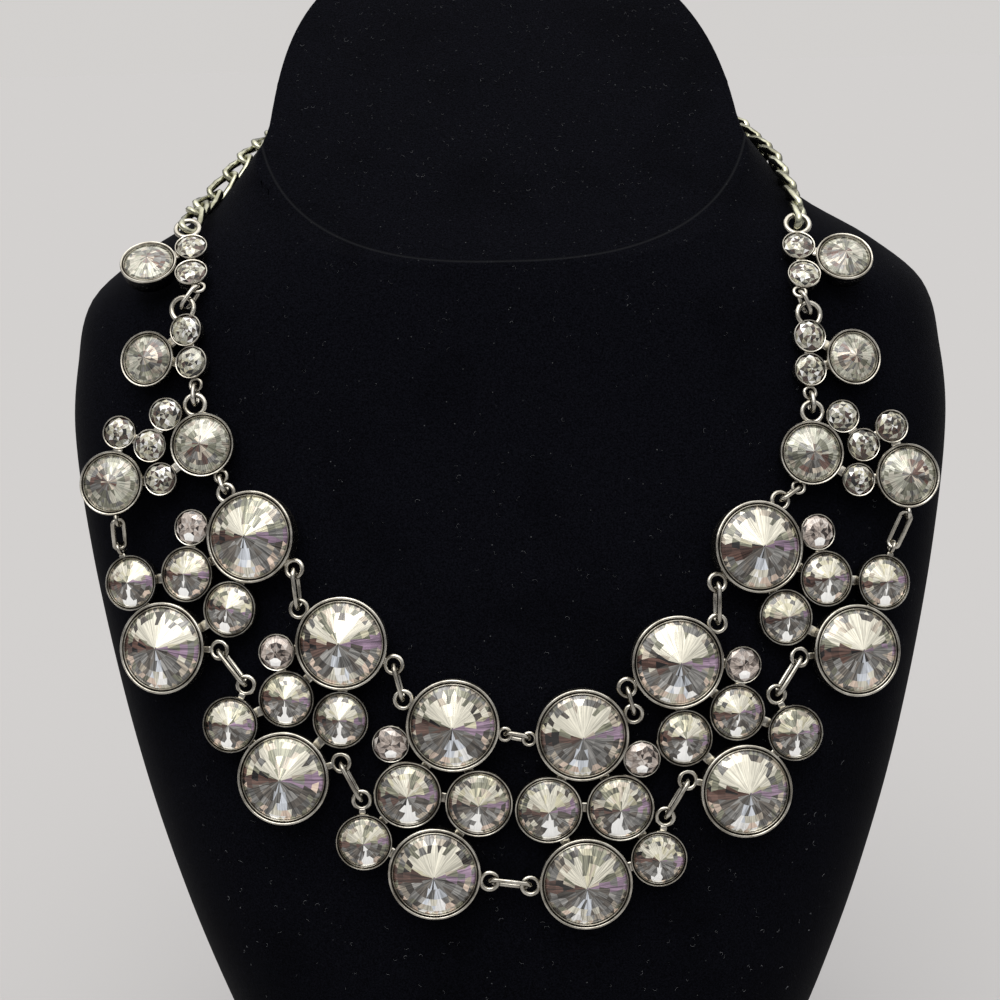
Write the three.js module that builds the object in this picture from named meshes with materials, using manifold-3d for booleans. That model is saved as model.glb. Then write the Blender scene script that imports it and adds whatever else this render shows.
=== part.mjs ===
// Bib necklace of twelve cast silver-tone plates set with round foiled stones, lying on a neck bust.
// Millimetres, +Z up, the bust's front faces -Y, and the origin is at the middle of the bust's flat base.

import * as THREE from "three";
import { mergeVertices } from "three/addons/utils/BufferGeometryUtils.js";
import Module from "manifold-3d";

const wasm = await Module();
wasm.setup();

// Driving sizes

const GAP = 0.3; // clearance between pieces that touch on the real necklace

// Bust: level sections, each a rounded oblong that is widest at middle. Squareness 2 is an ellipse, and
// higher is boxier.
const BUST_SECTIONS = [
  { up: 0, halfWidth: 60, front: -62, middle: -8.5, back: 45, squareness: 3.4 },
  { up: 28, halfWidth: 69, front: -74, middle: -13.5, back: 47, squareness: 3.4 },
  { up: 50, halfWidth: 76, front: -80, middle: -16, back: 48, squareness: 3.4 },
  { up: 75, halfWidth: 84, front: -81, middle: -16, back: 49, squareness: 3.4 },
  { up: 102, halfWidth: 91.5, front: -79, middle: -14.5, back: 50, squareness: 3.4 },
  { up: 128, halfWidth: 97.5, front: -74, middle: -12, back: 50, squareness: 3.4 },
  { up: 155, halfWidth: 103, front: -65, middle: -7.5, back: 50, squareness: 3.4 },
  { up: 181, halfWidth: 106.5, front: -55, middle: -2.5, back: 50, squareness: 3.4 },
  { up: 197, halfWidth: 105.5, front: -49, middle: 0.5, back: 50, squareness: 3.4 },
  { up: 212, halfWidth: 101.8, front: -43, middle: 3, back: 49, squareness: 3.3 },
  { up: 222, halfWidth: 90, front: -38, middle: 3.5, back: 48, squareness: 2.9 },
  { up: 232, halfWidth: 73, front: -33, middle: 3, back: 47, squareness: 2.6 },
  { up: 242, halfWidth: 63.5, front: -30, middle: 0, back: 47, squareness: 2.3 },
  { up: 252, halfWidth: 56.8, front: -30, middle: -4, back: 47, squareness: 2.1 },
  { up: 302, halfWidth: 56.4, front: -30, middle: -4, back: 47, squareness: 2.1 },
];
const BUST_SIDES = 24;
const NECK_CUT_FRONT = 229; // height of the slanted neck top at its front edge
const NECK_CUT_BACK = 298; // height at its back edge
const CUT_BLOCK = 400; // block that trims the neck, larger than the bust
const WIDEST_SHARE = 0.999; // a place beyond this share of the half width is taken to be on the side
const SLOPE_STEP = 0.5; // distance each way over which a slope of the bust is taken

// Settings: outer size of the bezel, its height, the rim of metal round the stone, and the mesh's sides.
// A stone in an open setting is a piece of its own; the others are soldered in with the casting.
const SETTINGS = {
  big: { size: 20.5, height: 5.2, rim: 1.25, sides: 12, open: true },
  large: { size: 14.6, height: 4.4, rim: 1.1, sides: 12, open: true },
  larger: { size: 13.0, height: 4.2, rim: 1.05, sides: 12, open: true },
  wide: { size: 15.0, height: 4.4, rim: 1.0, sides: 10, pointed: true },
  medium: { size: 12.6, height: 4.0, rim: 0.9, sides: 10, pointed: true },
  small: { size: 8.4, height: 3.4, rim: 0.6, sides: 8, pointed: false },
  smaller: { size: 7.7, height: 3.4, rim: 0.6, sides: 8, pointed: false },
};
const FOOT_TAPER = 0.7; // a setting's foot is this much smaller in radius than its lip
const CUP_FLOOR = 0.6;
const FOOT_POINTS = 12; // places round each foot where a casting is tested against the bust
const STAND_PASSES = 4;
const SEAT_ABOVE = 1; // how far the shape that hollows a seat runs out above its lip
const CROWN_SUNK = 0.2; // how far a soldered-in stone's edge lies below its bezel's lip
const RIVOLI_CROWN = 0.2; // height of a pointed stone's crown, as a share of its diameter
const RIVOLI_TABLE = 0.06; // half width of its table, as a share of its diameter
const RIVOLI_PAVILION = 0.19; // depth below the girdle, as a share of its diameter
const GIRDLE = 0.3;
const GIRDLE_BELOW_LIP = 0.7;
const CHATON_TABLE = 0.27; // half width of a small stone's table, as a share of its diameter
const CHATON_CROWN = 0.16;

// Castings: round settings by design, outward from the necklace's middle and down the chest.
const DESIGNS = {
  shoulder: [
    { out: 0, down: 0, kind: "smaller" },
    { out: 1.3, down: 8.0, kind: "smaller" },
    { out: 10.3, down: 3.0, kind: "larger" },
  ],
  second: [
    { out: 0, down: 0, kind: "smaller" },
    { out: 0, down: 7.7, kind: "smaller" },
    { out: 10.1, down: 4.5, kind: "larger" },
  ],
  third: [
    { out: 0, down: 0, kind: "large" },
    { out: 8.2, down: -7.7, kind: "smaller" },
    { out: 12.2, down: -0.9, kind: "smaller" },
    { out: 19.1, down: -4.5, kind: "smaller" },
    { out: 10.2, down: 6.8, kind: "smaller" },
    { out: 21.3, down: 6.9, kind: "large" },
  ],
  bib: [
    { out: 0, down: 0, kind: "big" },
    { out: 14.8, down: 2.3, kind: "small" },
    { out: 12.4, down: 12.5, kind: "medium" },
    { out: 0.2, down: 16.8, kind: "medium" },
    { out: 25.0, down: 18.4, kind: "medium" },
    { out: 12.7, down: 29.8, kind: "big" },
  ],
  front: [
    { out: 0, down: 0, kind: "big" },
    { out: 13.7, down: 4.4, kind: "small" },
    { out: 10.0, down: 15.5, kind: "wide" },
    { out: -5.6, down: 17.4, kind: "wide" },
    { out: 19.7, down: 26.2, kind: "medium" },
    { out: 4.2, down: 33.0, kind: "big" },
  ],
};

// Solder joints between neighbouring settings, by their place in the design.
const JOINTS = {
  shoulder: [[0, 1], [0, 2]],
  second: [[0, 1], [0, 2], [1, 2]],
  third: [[0, 1], [1, 2], [2, 3], [0, 4], [3, 5], [4, 5]],
  bib: [[0, 1], [0, 2], [0, 3], [1, 2], [2, 4], [3, 5], [4, 5]],
  front: [[0, 1], [0, 2], [0, 3], [2, 3], [2, 4], [4, 5], [3, 5]],
};
const JOINT_WIDTH = 2.2;
const JOINT_HEIGHT = 1.8;
const JOINT_BITE = 0.8; // how far a solder joint runs into each setting

// Eyes: cast rings that the links hang on, by the radius to their wire's middle and the wire's radius.
const EYE_SIZES = {
  plain: { middle: 1.9, wire: 0.55 },
  stub: { middle: 1.35, wire: 0.42 },
  loop: { middle: 2.3, wire: 0.6 },
  bigLoop: { middle: 2.7, wire: 0.65 },
};
const EYE_UP = 2.4; // height of an eye's middle above the casting's flat back
const STANDING_EYE_UP = 2.8;
const EYE_SIDES = 8;
const EYE_WIRE_SIDES = 4;
const STEM_WIDTH = 1.1;
const EYE_OVERLAP = 0.3; // an eye that overlaps its setting by more than this needs no stem
const EYES = {
  shoulder: {
    top: { out: -0.2, down: -6.6, size: "bigLoop", host: 0, standing: false },
    low: { out: 0.4, down: 12.6, size: "stub", host: 1, standing: false },
  },
  second: {
    top: { out: 0.1, down: -5.2, size: "bigLoop", host: 0, standing: false },
    low: { out: 0, down: 12.9, size: "stub", host: 1, standing: false },
  },
  third: {
    top: { out: 1.5, down: -9.3, size: "loop", host: 0, standing: false },
    lowIn: { out: -3.5, down: 7.3, size: "stub", host: 0, standing: false },
    lowOut: { out: 20.6, down: 15.1, size: "stub", host: 5, standing: true },
  },
  fourth: {
    topIn: { out: 9.4, down: -7.4, size: "plain", host: 0, standing: false },
    lowIn: { out: -11.3, down: 3.9, size: "plain", host: 0, standing: false },
    topOut: { out: 30.2, down: 11.9, size: "stub", host: 4, standing: true },
    lowOut: { out: 0.3, down: 26.3, size: "plain", host: 5, standing: false },
  },
  fifth: {
    topIn: { out: 10.0, down: -7.3, size: "plain", host: 0, standing: false },
    lowIn: { out: -11.3, down: 4.6, size: "plain", host: 0, standing: false },
    topOut: { out: 21.8, down: 9.7, size: "plain", host: 4, standing: false },
    lowOut: { out: 0.3, down: 26.3, size: "plain", host: 5, standing: false },
  },
  front: {
    topIn: { out: 10.9, down: -5.3, size: "plain", host: 0, standing: false },
    topOut: { out: 20.2, down: 17.0, size: "plain", host: 4, standing: false },
    midUp: { out: -11.3, down: 2.4, size: "stub", host: 0, standing: false },
    midLow: { out: -7.8, down: 35.2, size: "plain", host: 5, standing: false },
  },
};

// Where each casting touches the bust: across and up on its front, and its turn in degrees, lower end
// outward. side is -1 for the left of the view, and sideways is the share of the bust's own slope towards
// its side that the casting takes, since a stiff casting can lie flatter than the bust under it.
const PLACES = {
  left_1: { side: -1, design: "shoulder", eyes: "shoulder", across: -76, up: 219.2, turn: -14, sideways: 0 },
  left_2: { side: -1, design: "second", eyes: "second", across: -75, up: 203, turn: -15.5, sideways: 1 },
  left_3: { side: -1, design: "third", eyes: "third", across: -80.4, up: 181.4, turn: -4.7, sideways: 0.3 },
  left_4: { side: -1, design: "bib", eyes: "fourth", across: -71, up: 154.5, turn: 14, sideways: 1 },
  left_5: { side: -1, design: "bib", eyes: "fifth", across: -49, up: 129.5, turn: 0, sideways: 1 },
  left_6: { side: -1, design: "front", eyes: "front", across: -21.7, up: 109.5, turn: 1, sideways: 1 },
  right_1: { side: 1, design: "shoulder", eyes: "shoulder", across: 70.3, up: 217.3, turn: -6, sideways: 0 },
  right_2: { side: 1, design: "second", eyes: "second", across: 70.3, up: 199, turn: -6, sideways: 1 },
  right_3: { side: 1, design: "third", eyes: "third", across: 78, up: 178, turn: 2.2, sideways: 0.3 },
  right_4: { side: 1, design: "bib", eyes: "fourth", across: 67, up: 150.5, turn: 16.5, sideways: 1 },
  right_5: { side: 1, design: "bib", eyes: "fifth", across: 46, up: 124.5, turn: 2.5, sideways: 1 },
  right_6: { side: 1, design: "front", eyes: "front", across: 18.6, up: 106, turn: -7, sideways: 1 },
};

// Oval links between castings. roll 90 stands a link on edge, 0 lays it flat.
const LINK_WIRE = 0.4;
const LINK_MIDDLE = 1.75; // half width to the wire's middle
const LINK_SIDES = 10;
const LINK_WIRE_SIDES = 5;
const LINKS = [
  { name: "link_left_1_2", from: ["left_1", "low"], to: ["left_2", "top"], roll: 90 },
  { name: "link_left_2_3", from: ["left_2", "low"], to: ["left_3", "top"], roll: 90 },
  { name: "link_left_3_4_inner", from: ["left_3", "lowIn"], to: ["left_4", "topIn"], roll: 90 },
  { name: "link_left_3_4_outer", from: ["left_3", "lowOut"], to: ["left_4", "topOut"], roll: -15 },
  { name: "link_left_4_5_inner", from: ["left_4", "lowIn"], to: ["left_5", "topIn"], roll: 90 },
  { name: "link_left_4_5_outer", from: ["left_4", "lowOut"], to: ["left_5", "topOut"], roll: 90 },
  { name: "link_left_5_6_inner", from: ["left_5", "lowIn"], to: ["left_6", "topIn"], roll: 90 },
  { name: "link_left_5_6_outer", from: ["left_5", "lowOut"], to: ["left_6", "topOut"], roll: 90 },
  { name: "link_right_1_2", from: ["right_1", "low"], to: ["right_2", "top"], roll: 90 },
  { name: "link_right_2_3", from: ["right_2", "low"], to: ["right_3", "top"], roll: 90 },
  { name: "link_right_3_4_inner", from: ["right_3", "lowIn"], to: ["right_4", "topIn"], roll: 90 },
  { name: "link_right_3_4_outer", from: ["right_3", "lowOut"], to: ["right_4", "topOut"], roll: 15 },
  { name: "link_right_4_5_inner", from: ["right_4", "lowIn"], to: ["right_5", "topIn"], roll: 90 },
  { name: "link_right_4_5_outer", from: ["right_4", "lowOut"], to: ["right_5", "topOut"], roll: 90 },
  { name: "link_right_5_6_inner", from: ["right_5", "lowIn"], to: ["right_6", "topIn"], roll: 90 },
  { name: "link_right_5_6_outer", from: ["right_5", "lowOut"], to: ["right_6", "topOut"], roll: 90 },
  { name: "link_front_upper", from: ["left_6", "midUp"], to: ["right_6", "midUp"], roll: 60 },
  { name: "link_front_lower", from: ["left_6", "midLow"], to: ["right_6", "midLow"], roll: 60 },
];

// Chain: a tube as thick as the curb chain, with a whole link at each end to hook on.
const CHAIN_WIRE = 0.62;
const CHAIN_WIDTH = 5.4;
const CHAIN_LINK = 8.6;
const TUBE_RADIUS = 2.1;
const TUBE_SIDES = 6;
const TUBE_STEPS = 18;
// Chosen points of each side's chain, from the shoulder up round the neck to its back.
const CHAIN_ROUTES = {
  left: [
    { across: -73.7, back: -17, up: 233.4 },
    { across: -73.9, back: -9, up: 234 },
    { across: -71.5, back: -4.5, up: 236.5 },
    { across: -68.7, back: -0.5, up: 240.2 },
    { across: -66.1, back: 3.5, up: 243.2 },
    { across: -63.4, back: 8, up: 245.7 },
    { across: -60.8, back: 12.5, up: 247.8 },
    { across: -54.4, back: 24.8, up: 250.6 },
    { across: -37.6, back: 42, up: 251.3 },
    { across: -16, back: 49.8, up: 250.5 },
  ],
  right: [
    { across: 68.6, back: -22, up: 232 },
    { across: 68, back: -17, up: 235.3 },
    { across: 67.5, back: -11, up: 238.2 },
    { across: 67, back: -4, up: 241.4 },
    { across: 65.4, back: 3, up: 243.8 },
    { across: 63, back: 9, up: 245.9 },
    { across: 61.2, back: 13, up: 248 },
    { across: 54.4, back: 24.8, up: 250.6 },
    { across: 37.6, back: 42, up: 251.3 },
    { across: 16, back: 49.8, up: 250.5 },
  ],
};
const CLASP_MIDDLE = 3.2;
const CLASP_WIRE = 0.8;
const CLASP_BACK = 51;
const CLASP_UP = 250;

// Shared helpers

const METAL = { color: 0xc9c7c2, roughness: 0.22, metalness: 1.0 };
const STONE = { color: 0xe9e6d8, roughness: 0.08, metalness: 0.1 };
const VELVET = { color: 0x0c0c10, roughness: 0.95, metalness: 0.0 };

// A three.js geometry as a solid that can be joined and cut.
function solid(geometry) {
  const bare = geometry.clone();
  bare.deleteAttribute("normal");
  bare.deleteAttribute("uv");
  const merged = mergeVertices(bare, 1e-4);
  const faces = [];
  const index = merged.index.array;
  for (let i = 0; i < index.length; i += 3) {
    const a = index[i];
    const b = index[i + 1];
    const c = index[i + 2];
    if (a !== b && b !== c && c !== a) faces.push(a, b, c);
  }
  return new wasm.Manifold(
    new wasm.Mesh({
      numProp: 3,
      vertProperties: new Float32Array(merged.attributes.position.array),
      triVerts: new Uint32Array(faces),
    }),
  );
}

function geometryOf(made) {
  const mesh = made.getMesh();
  const geometry = new THREE.BufferGeometry();
  const points = new Float32Array(mesh.numVert * 3);
  for (let i = 0; i < mesh.numVert; i++) {
    points.set(mesh.vertProperties.subarray(i * mesh.numProp, i * mesh.numProp + 3), i * 3);
  }
  geometry.setAttribute("position", new THREE.BufferAttribute(points, 3));
  geometry.setIndex(new THREE.BufferAttribute(new Uint32Array(mesh.triVerts), 1));
  geometry.computeVertexNormals();
  return geometry;
}

const join = (solids) => solids.reduce((all, next) => all.add(next));

// A profile of [radius, height] pairs turned round the Z axis.
function turned(profile, sides) {
  const points = profile.map(([r, h]) => new THREE.Vector2(r, h));
  return new THREE.LatheGeometry(points, sides).rotateX(Math.PI / 2).rotateZ(Math.PI / sides);
}

// A ring stretched along X into an oval link; half is the stretch each way.
function oval(middle, wire, wireSides, sides, half) {
  const ring = new THREE.TorusGeometry(middle, wire, wireSides, sides);
  const p = ring.attributes.position;
  for (let i = 0; i < p.count; i++) p.setX(i, p.getX(i) + Math.sign(p.getX(i)) * half);
  return ring;
}

const rad = THREE.MathUtils.degToRad;

// Bust surface

// One column of the section table at a height, smoothed through the rows.
function sectionValue(key, up) {
  const rows = BUST_SECTIONS;
  const last = rows.length - 1;
  let i = 0;
  while (i < last - 1 && rows[i + 1].up < up) i++;
  const slope = (k) => {
    const a = rows[Math.max(k - 1, 0)];
    const b = rows[Math.min(k + 1, last)];
    return (b[key] - a[key]) / (b.up - a.up);
  };
  const span = rows[i + 1].up - rows[i].up;
  const t = THREE.MathUtils.clamp((up - rows[i].up) / span, 0, 1);
  const t2 = t * t;
  const t3 = t2 * t;
  return (
    (2 * t3 - 3 * t2 + 1) * rows[i][key] +
    (t3 - 2 * t2 + t) * span * slope(i) +
    (3 * t2 - 2 * t3) * rows[i + 1][key] +
    (t3 - t2) * span * slope(i + 1)
  );
}

// How far back the bust's front lies at a place across and up.
function frontAt(across, up) {
  const middle = sectionValue("middle", up);
  const depth = middle - sectionValue("front", up);
  const power = sectionValue("squareness", up);
  const share = Math.min(Math.abs(across) / sectionValue("halfWidth", up), WIDEST_SHARE);
  return middle - depth * (1 - share ** power) ** (1 / power);
}

// The frame of the plane that rests on the bust there: X to the right, Y up the chest, Z outward.
// sideways is the share of the bust's own slope towards its side that the plane takes.
function restingFrame({ across, up, sideways }) {
  const step = SLOPE_STEP;
  const slopeAcross = (frontAt(across + step, up) - frontAt(across - step, up)) / (2 * step);
  const slopeUp = (frontAt(across, up + step) - frontAt(across, up - step)) / (2 * step);
  const normal = new THREE.Vector3(sideways * slopeAcross, -1, slopeUp).normalize();
  const upward = new THREE.Vector3(0, 0, 1).projectOnPlane(normal).normalize();
  const right = new THREE.Vector3().crossVectors(upward, normal);
  const origin = new THREE.Vector3(across, frontAt(across, up), up);
  return new THREE.Matrix4().makeBasis(right, upward, normal).setPosition(origin);
}

// Neck bust

function neckBust() {
  const profile = BUST_SECTIONS.map((row) => new THREE.Vector2(1, row.up));
  profile.unshift(new THREE.Vector2(0, BUST_SECTIONS[0].up));
  profile.push(new THREE.Vector2(0, BUST_SECTIONS.at(-1).up));
  const body = new THREE.LatheGeometry(profile, BUST_SIDES).rotateX(Math.PI / 2);
  const p = body.attributes.position;
  for (let i = 0; i < p.count; i++) {
    const up = p.getZ(i);
    const power = 2 / sectionValue("squareness", up);
    const middle = sectionValue("middle", up);
    const x = p.getX(i);
    const y = p.getY(i);
    const onAxis = Math.hypot(x, y) < 0.5;
    const across = Math.sign(x) * Math.abs(x) ** power * sectionValue("halfWidth", up);
    const reach = sectionValue(y < 0 ? "front" : "back", up) - middle;
    p.setX(i, onAxis ? 0 : across);
    p.setY(i, middle + (onAxis ? 0 : Math.abs(y) ** power * reach));
  }
  const neck = BUST_SECTIONS.at(-1);
  const slant = Math.atan2(NECK_CUT_BACK - NECK_CUT_FRONT, neck.back - neck.front);
  const block = new THREE.BoxGeometry(CUT_BLOCK, CUT_BLOCK, CUT_BLOCK)
    .translate(0, 0, CUT_BLOCK / 2)
    .rotateX(slant)
    .translate(0, neck.front, NECK_CUT_FRONT);
  return geometryOf(solid(body).subtract(solid(block)));
}

// Settings and stones

// The outside of an open setting, and the hollow cut into it for a stone that is a piece of its own.
function pillar({ size, height, sides }) {
  const outer = size / 2;
  return turned([[0, 0], [outer - FOOT_TAPER, 0], [outer, height], [0, height]], sides);
}

function seat({ size, height, rim, sides }) {
  const inner = size / 2 - rim;
  const above = height + SEAT_ABOVE;
  return turned([[0, CUP_FLOOR], [inner, CUP_FLOOR], [inner, above], [0, above]], sides);
}

// A setting with its stone soldered in, crown and table showing.
function closedSetting({ size, height, rim, sides, pointed }) {
  const outer = size / 2;
  const stone = outer - rim;
  const top = height + 2 * stone * (pointed ? RIVOLI_CROWN : CHATON_CROWN);
  const profile = [[0, 0], [outer - FOOT_TAPER, 0], [outer, height]];
  if (pointed) profile.push([stone, height - CROWN_SUNK]);
  profile.push([2 * stone * (pointed ? 2 * RIVOLI_TABLE : CHATON_TABLE), top], [0, top]);
  return turned(profile, sides);
}

// A pointed stone with a small table, a girdle and a pointed back, standing in its cup.
function rivoli({ size, height, rim, sides }) {
  const radius = size / 2 - rim - GAP;
  const girdleTop = height - GIRDLE_BELOW_LIP;
  const crownTop = girdleTop + 2 * radius * RIVOLI_CROWN;
  const pavilion = girdleTop - GIRDLE - 2 * radius * RIVOLI_PAVILION;
  const low = Math.max(pavilion, CUP_FLOOR + GAP);
  return turned(
    [
      [0, low],
      [radius, girdleTop - GIRDLE],
      [radius, girdleTop],
      [2 * radius * RIVOLI_TABLE, crownTop],
      [0, crownTop],
    ],
    sides,
  );
}

// A short bar lying between two points of a casting's back.
function bar(from, to, width, height, lift) {
  const across = new THREE.Vector2().subVectors(to, from);
  return new THREE.BoxGeometry(across.length(), width, height)
    .rotateZ(across.angle())
    .translate((from.x + to.x) / 2, (from.y + to.y) / 2, lift + height / 2);
}

// Castings

const flatPoint = (place, item) => new THREE.Vector2(place.side * item.out, -item.down);

// The middle of a design's settings, which lies over the casting's contact with the bust.
function middleOf(design) {
  const count = design.length;
  const out = design.reduce((sum, s) => sum + s.out, 0) / count;
  const down = design.reduce((sum, s) => sum + s.down, 0) / count;
  return { out, down };
}

// Points round the foot of each of a casting's settings, in the casting's own plane.
function footPoints(place) {
  const points = [];
  for (const item of DESIGNS[place.design]) {
    const radius = SETTINGS[item.kind].size / 2 - FOOT_TAPER;
    for (let k = 0; k < FOOT_POINTS; k++) {
      const turn = (2 * Math.PI * k) / FOOT_POINTS;
      const at = flatPoint(place, item);
      points.push(new THREE.Vector3(at.x + radius * Math.cos(turn), at.y + radius * Math.sin(turn), 0));
    }
  }
  return points;
}

// A casting's frame, standing off the bust just far enough for every foot to clear it.
function castingFrame(place) {
  const middle = flatPoint(place, middleOf(DESIGNS[place.design]));
  const turn = new THREE.Matrix4().makeRotationZ(place.side * rad(place.turn));
  const shift = new THREE.Matrix4().makeTranslation(-middle.x, -middle.y, 0);
  const frame = restingFrame(place).multiply(turn).multiply(shift);
  const normal = new THREE.Vector3().setFromMatrixColumn(frame, 2);
  const start = new THREE.Vector3().setFromMatrixPosition(frame);
  let standOff = 0;
  for (let pass = 0; pass < STAND_PASSES; pass++) {
    const depths = footPoints(place).map((foot) => {
      const at = foot.applyMatrix4(frame);
      return at.y - frontAt(at.x, at.z);
    });
    standOff = Math.max(standOff + Math.max(...depths) * Math.abs(normal.y), 0);
    frame.setPosition(start.clone().addScaledVector(normal, standOff));
  }
  return frame.setPosition(start.clone().addScaledVector(normal, standOff + GAP));
}

function eyeParts(place, eye) {
  const size = EYE_SIZES[eye.size];
  const host = DESIGNS[place.design][eye.host];
  const at = flatPoint(place, eye);
  const hostAt = flatPoint(place, host);
  const away = new THREE.Vector2().subVectors(at, hostAt);
  const reach = away.length();
  const lift = eye.standing ? STANDING_EYE_UP : EYE_UP;
  const ring = new THREE.TorusGeometry(size.middle, size.wire, EYE_WIRE_SIDES, EYE_SIDES);
  if (eye.standing) ring.rotateX(Math.PI / 2);
  ring.rotateZ(away.angle()).translate(at.x, at.y, lift);
  const parts = [solid(ring)];
  const edge = SETTINGS[host.kind].size / 2;
  const nearSide = reach - size.middle;
  if (nearSide > edge - EYE_OVERLAP) {
    const unit = away.clone().normalize();
    const start = hostAt.clone().addScaledVector(unit, edge - JOINT_BITE);
    const end = hostAt.clone().addScaledVector(unit, nearSide);
    parts.push(solid(bar(start, end, STEM_WIDTH, STEM_WIDTH, lift - STEM_WIDTH / 2)));
  }
  return parts;
}

function casting(place) {
  const design = DESIGNS[place.design];
  const parts = design.map((item) => {
    const at = flatPoint(place, item);
    const setting = SETTINGS[item.kind];
    const shape = setting.open ? pillar(setting) : closedSetting(setting);
    return solid(shape.translate(at.x, at.y, 0));
  });
  for (const [a, b] of JOINTS[place.design]) {
    const from = flatPoint(place, design[a]);
    const to = flatPoint(place, design[b]);
    const unit = new THREE.Vector2().subVectors(to, from).normalize();
    from.addScaledVector(unit, SETTINGS[design[a].kind].size / 2 - JOINT_BITE);
    to.addScaledVector(unit, -SETTINGS[design[b].kind].size / 2 + JOINT_BITE);
    parts.push(solid(bar(from, to, JOINT_WIDTH, JOINT_HEIGHT, 0)));
  }
  for (const eye of Object.values(EYES[place.eyes])) parts.push(...eyeParts(place, eye));
  const seats = design.filter((item) => SETTINGS[item.kind].open);
  const hollows = seats.map((item) => {
    const at = flatPoint(place, item);
    return solid(seat(SETTINGS[item.kind]).translate(at.x, at.y, 0));
  });
  const made = join(parts).subtract(join(hollows));
  return geometryOf(made).applyMatrix4(castingFrame(place));
}

function stoneGeometry(place, item) {
  const at = flatPoint(place, item);
  return rivoli(SETTINGS[item.kind]).translate(at.x, at.y, 0).applyMatrix4(castingFrame(place));
}

// Links between castings

function hookOf([placeName, eyeName]) {
  const place = PLACES[placeName];
  const eye = EYES[place.eyes][eyeName];
  const at = flatPoint(place, eye);
  const lift = eye.standing ? STANDING_EYE_UP : EYE_UP;
  const frame = castingFrame(place);
  const point = new THREE.Vector3(at.x, at.y, lift).applyMatrix4(frame);
  const outward = new THREE.Vector3().setFromMatrixColumn(frame, 2);
  return { point, outward };
}

// Stands a shape drawn along X between two points, its Z rolled from the outward direction.
function between(geometry, from, to, outward, roll) {
  const along = new THREE.Vector3().subVectors(to, from).normalize();
  const facing = outward.clone().projectOnPlane(along).normalize();
  const side = new THREE.Vector3().crossVectors(facing, along);
  const middle = new THREE.Vector3().addVectors(from, to).multiplyScalar(0.5);
  const frame = new THREE.Matrix4().makeBasis(along, side, facing).setPosition(middle);
  return geometry.rotateX(rad(roll)).applyMatrix4(frame);
}

function connector(link) {
  const a = hookOf(link.from);
  const b = hookOf(link.to);
  const outward = a.outward.clone().add(b.outward).normalize();
  const half = a.point.distanceTo(b.point) / 2 - LINK_MIDDLE;
  const shape = oval(LINK_MIDDLE, LINK_WIRE, LINK_WIRE_SIDES, LINK_SIDES, Math.max(half, 0));
  return between(shape, a.point, b.point, outward, link.roll);
}

// Chains and clasp

function endLink(from, to, outward) {
  const middle = CHAIN_WIDTH / 2 - CHAIN_WIRE;
  const half = from.distanceTo(to) / 2 - middle;
  return solid(between(oval(middle, CHAIN_WIRE, LINK_WIRE_SIDES, LINK_SIDES, half), from, to, outward, 90));
}

function chain(side) {
  const sideName = side < 0 ? "left" : "right";
  const start = hookOf([sideName + "_1", "top"]);
  const endAcross = side * (CLASP_MIDDLE - CLASP_WIRE - GAP - CHAIN_WIRE);
  const end = new THREE.Vector3(endAcross, CLASP_BACK, CLASP_UP);
  const chosen = CHAIN_ROUTES[sideName].map((p) => new THREE.Vector3(p.across, p.back, p.up));
  const route = new THREE.CatmullRomCurve3([start.point, ...chosen, end]);
  const total = route.getLength();
  const reach = CHAIN_LINK - 2 * CHAIN_WIRE;
  const near = route.getPointAt(reach / total);
  const far = route.getPointAt(1 - reach / total);
  const middle = [];
  for (let k = 0; k <= TUBE_STEPS; k++) {
    const share = (reach - CHAIN_WIRE) / total;
    middle.push(route.getPointAt(share + (1 - 2 * share) * (k / TUBE_STEPS)));
  }
  const section = new THREE.Shape();
  for (let k = 0; k < TUBE_SIDES; k++) {
    const turn = (2 * Math.PI * k) / TUBE_SIDES;
    const x = TUBE_RADIUS * Math.cos(turn);
    const y = TUBE_RADIUS * Math.sin(turn);
    if (k) section.lineTo(x, y);
    else section.moveTo(x, y);
  }
  const tube = new THREE.ExtrudeGeometry(section, {
    steps: TUBE_STEPS,
    extrudePath: new THREE.CatmullRomCurve3(middle),
    bevelEnabled: false,
  });
  const behind = new THREE.Vector3(0, 1, 0);
  const links = [endLink(start.point, near, start.outward), endLink(far, end, behind)];
  return geometryOf(join([solid(tube), ...links]));
}

function clasp() {
  return new THREE.TorusGeometry(CLASP_MIDDLE, CLASP_WIRE, LINK_WIRE_SIDES, LINK_SIDES)
    .rotateX(Math.PI / 2)
    .translate(0, CLASP_BACK, CLASP_UP);
}

// Assembly

const necklace = new THREE.Group();
necklace.name = "bib_necklace_on_bust";

function addPiece(name, geometry, look) {
  const mesh = new THREE.Mesh(geometry, new THREE.MeshStandardMaterial(look));
  mesh.name = name;
  necklace.add(mesh);
}

addPiece("neck_bust", neckBust(), VELVET);
for (const [name, place] of Object.entries(PLACES)) {
  addPiece("casting_" + name, casting(place), METAL);
  const own = DESIGNS[place.design].filter((item) => SETTINGS[item.kind].open);
  own.forEach((item, i) => {
    const suffix = own.length < 2 ? "" : i === 0 ? "_inner" : "_outer";
    addPiece("stone_" + name + suffix, stoneGeometry(place, item), STONE);
  });
}
for (const link of LINKS) addPiece(link.name, connector(link), METAL);
addPiece("chain_left", chain(-1), METAL);
addPiece("chain_right", chain(1), METAL);
addPiece("clasp", clasp(), METAL);

export default necklace;
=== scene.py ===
# %% [markdown]
# # A bib necklace of foiled stones on a velvet neck bust
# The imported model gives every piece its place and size. This lesson dresses it: the black
# velvet bust, the silver-tone settings soldered into twelve plates, the faceted stones, the
# links and the curb chain. Everything is in metres, in the model's own frame.

# %% Load the model
import math
import random
from contextlib import contextmanager

import bpy
from mathutils import Matrix, Vector


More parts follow.
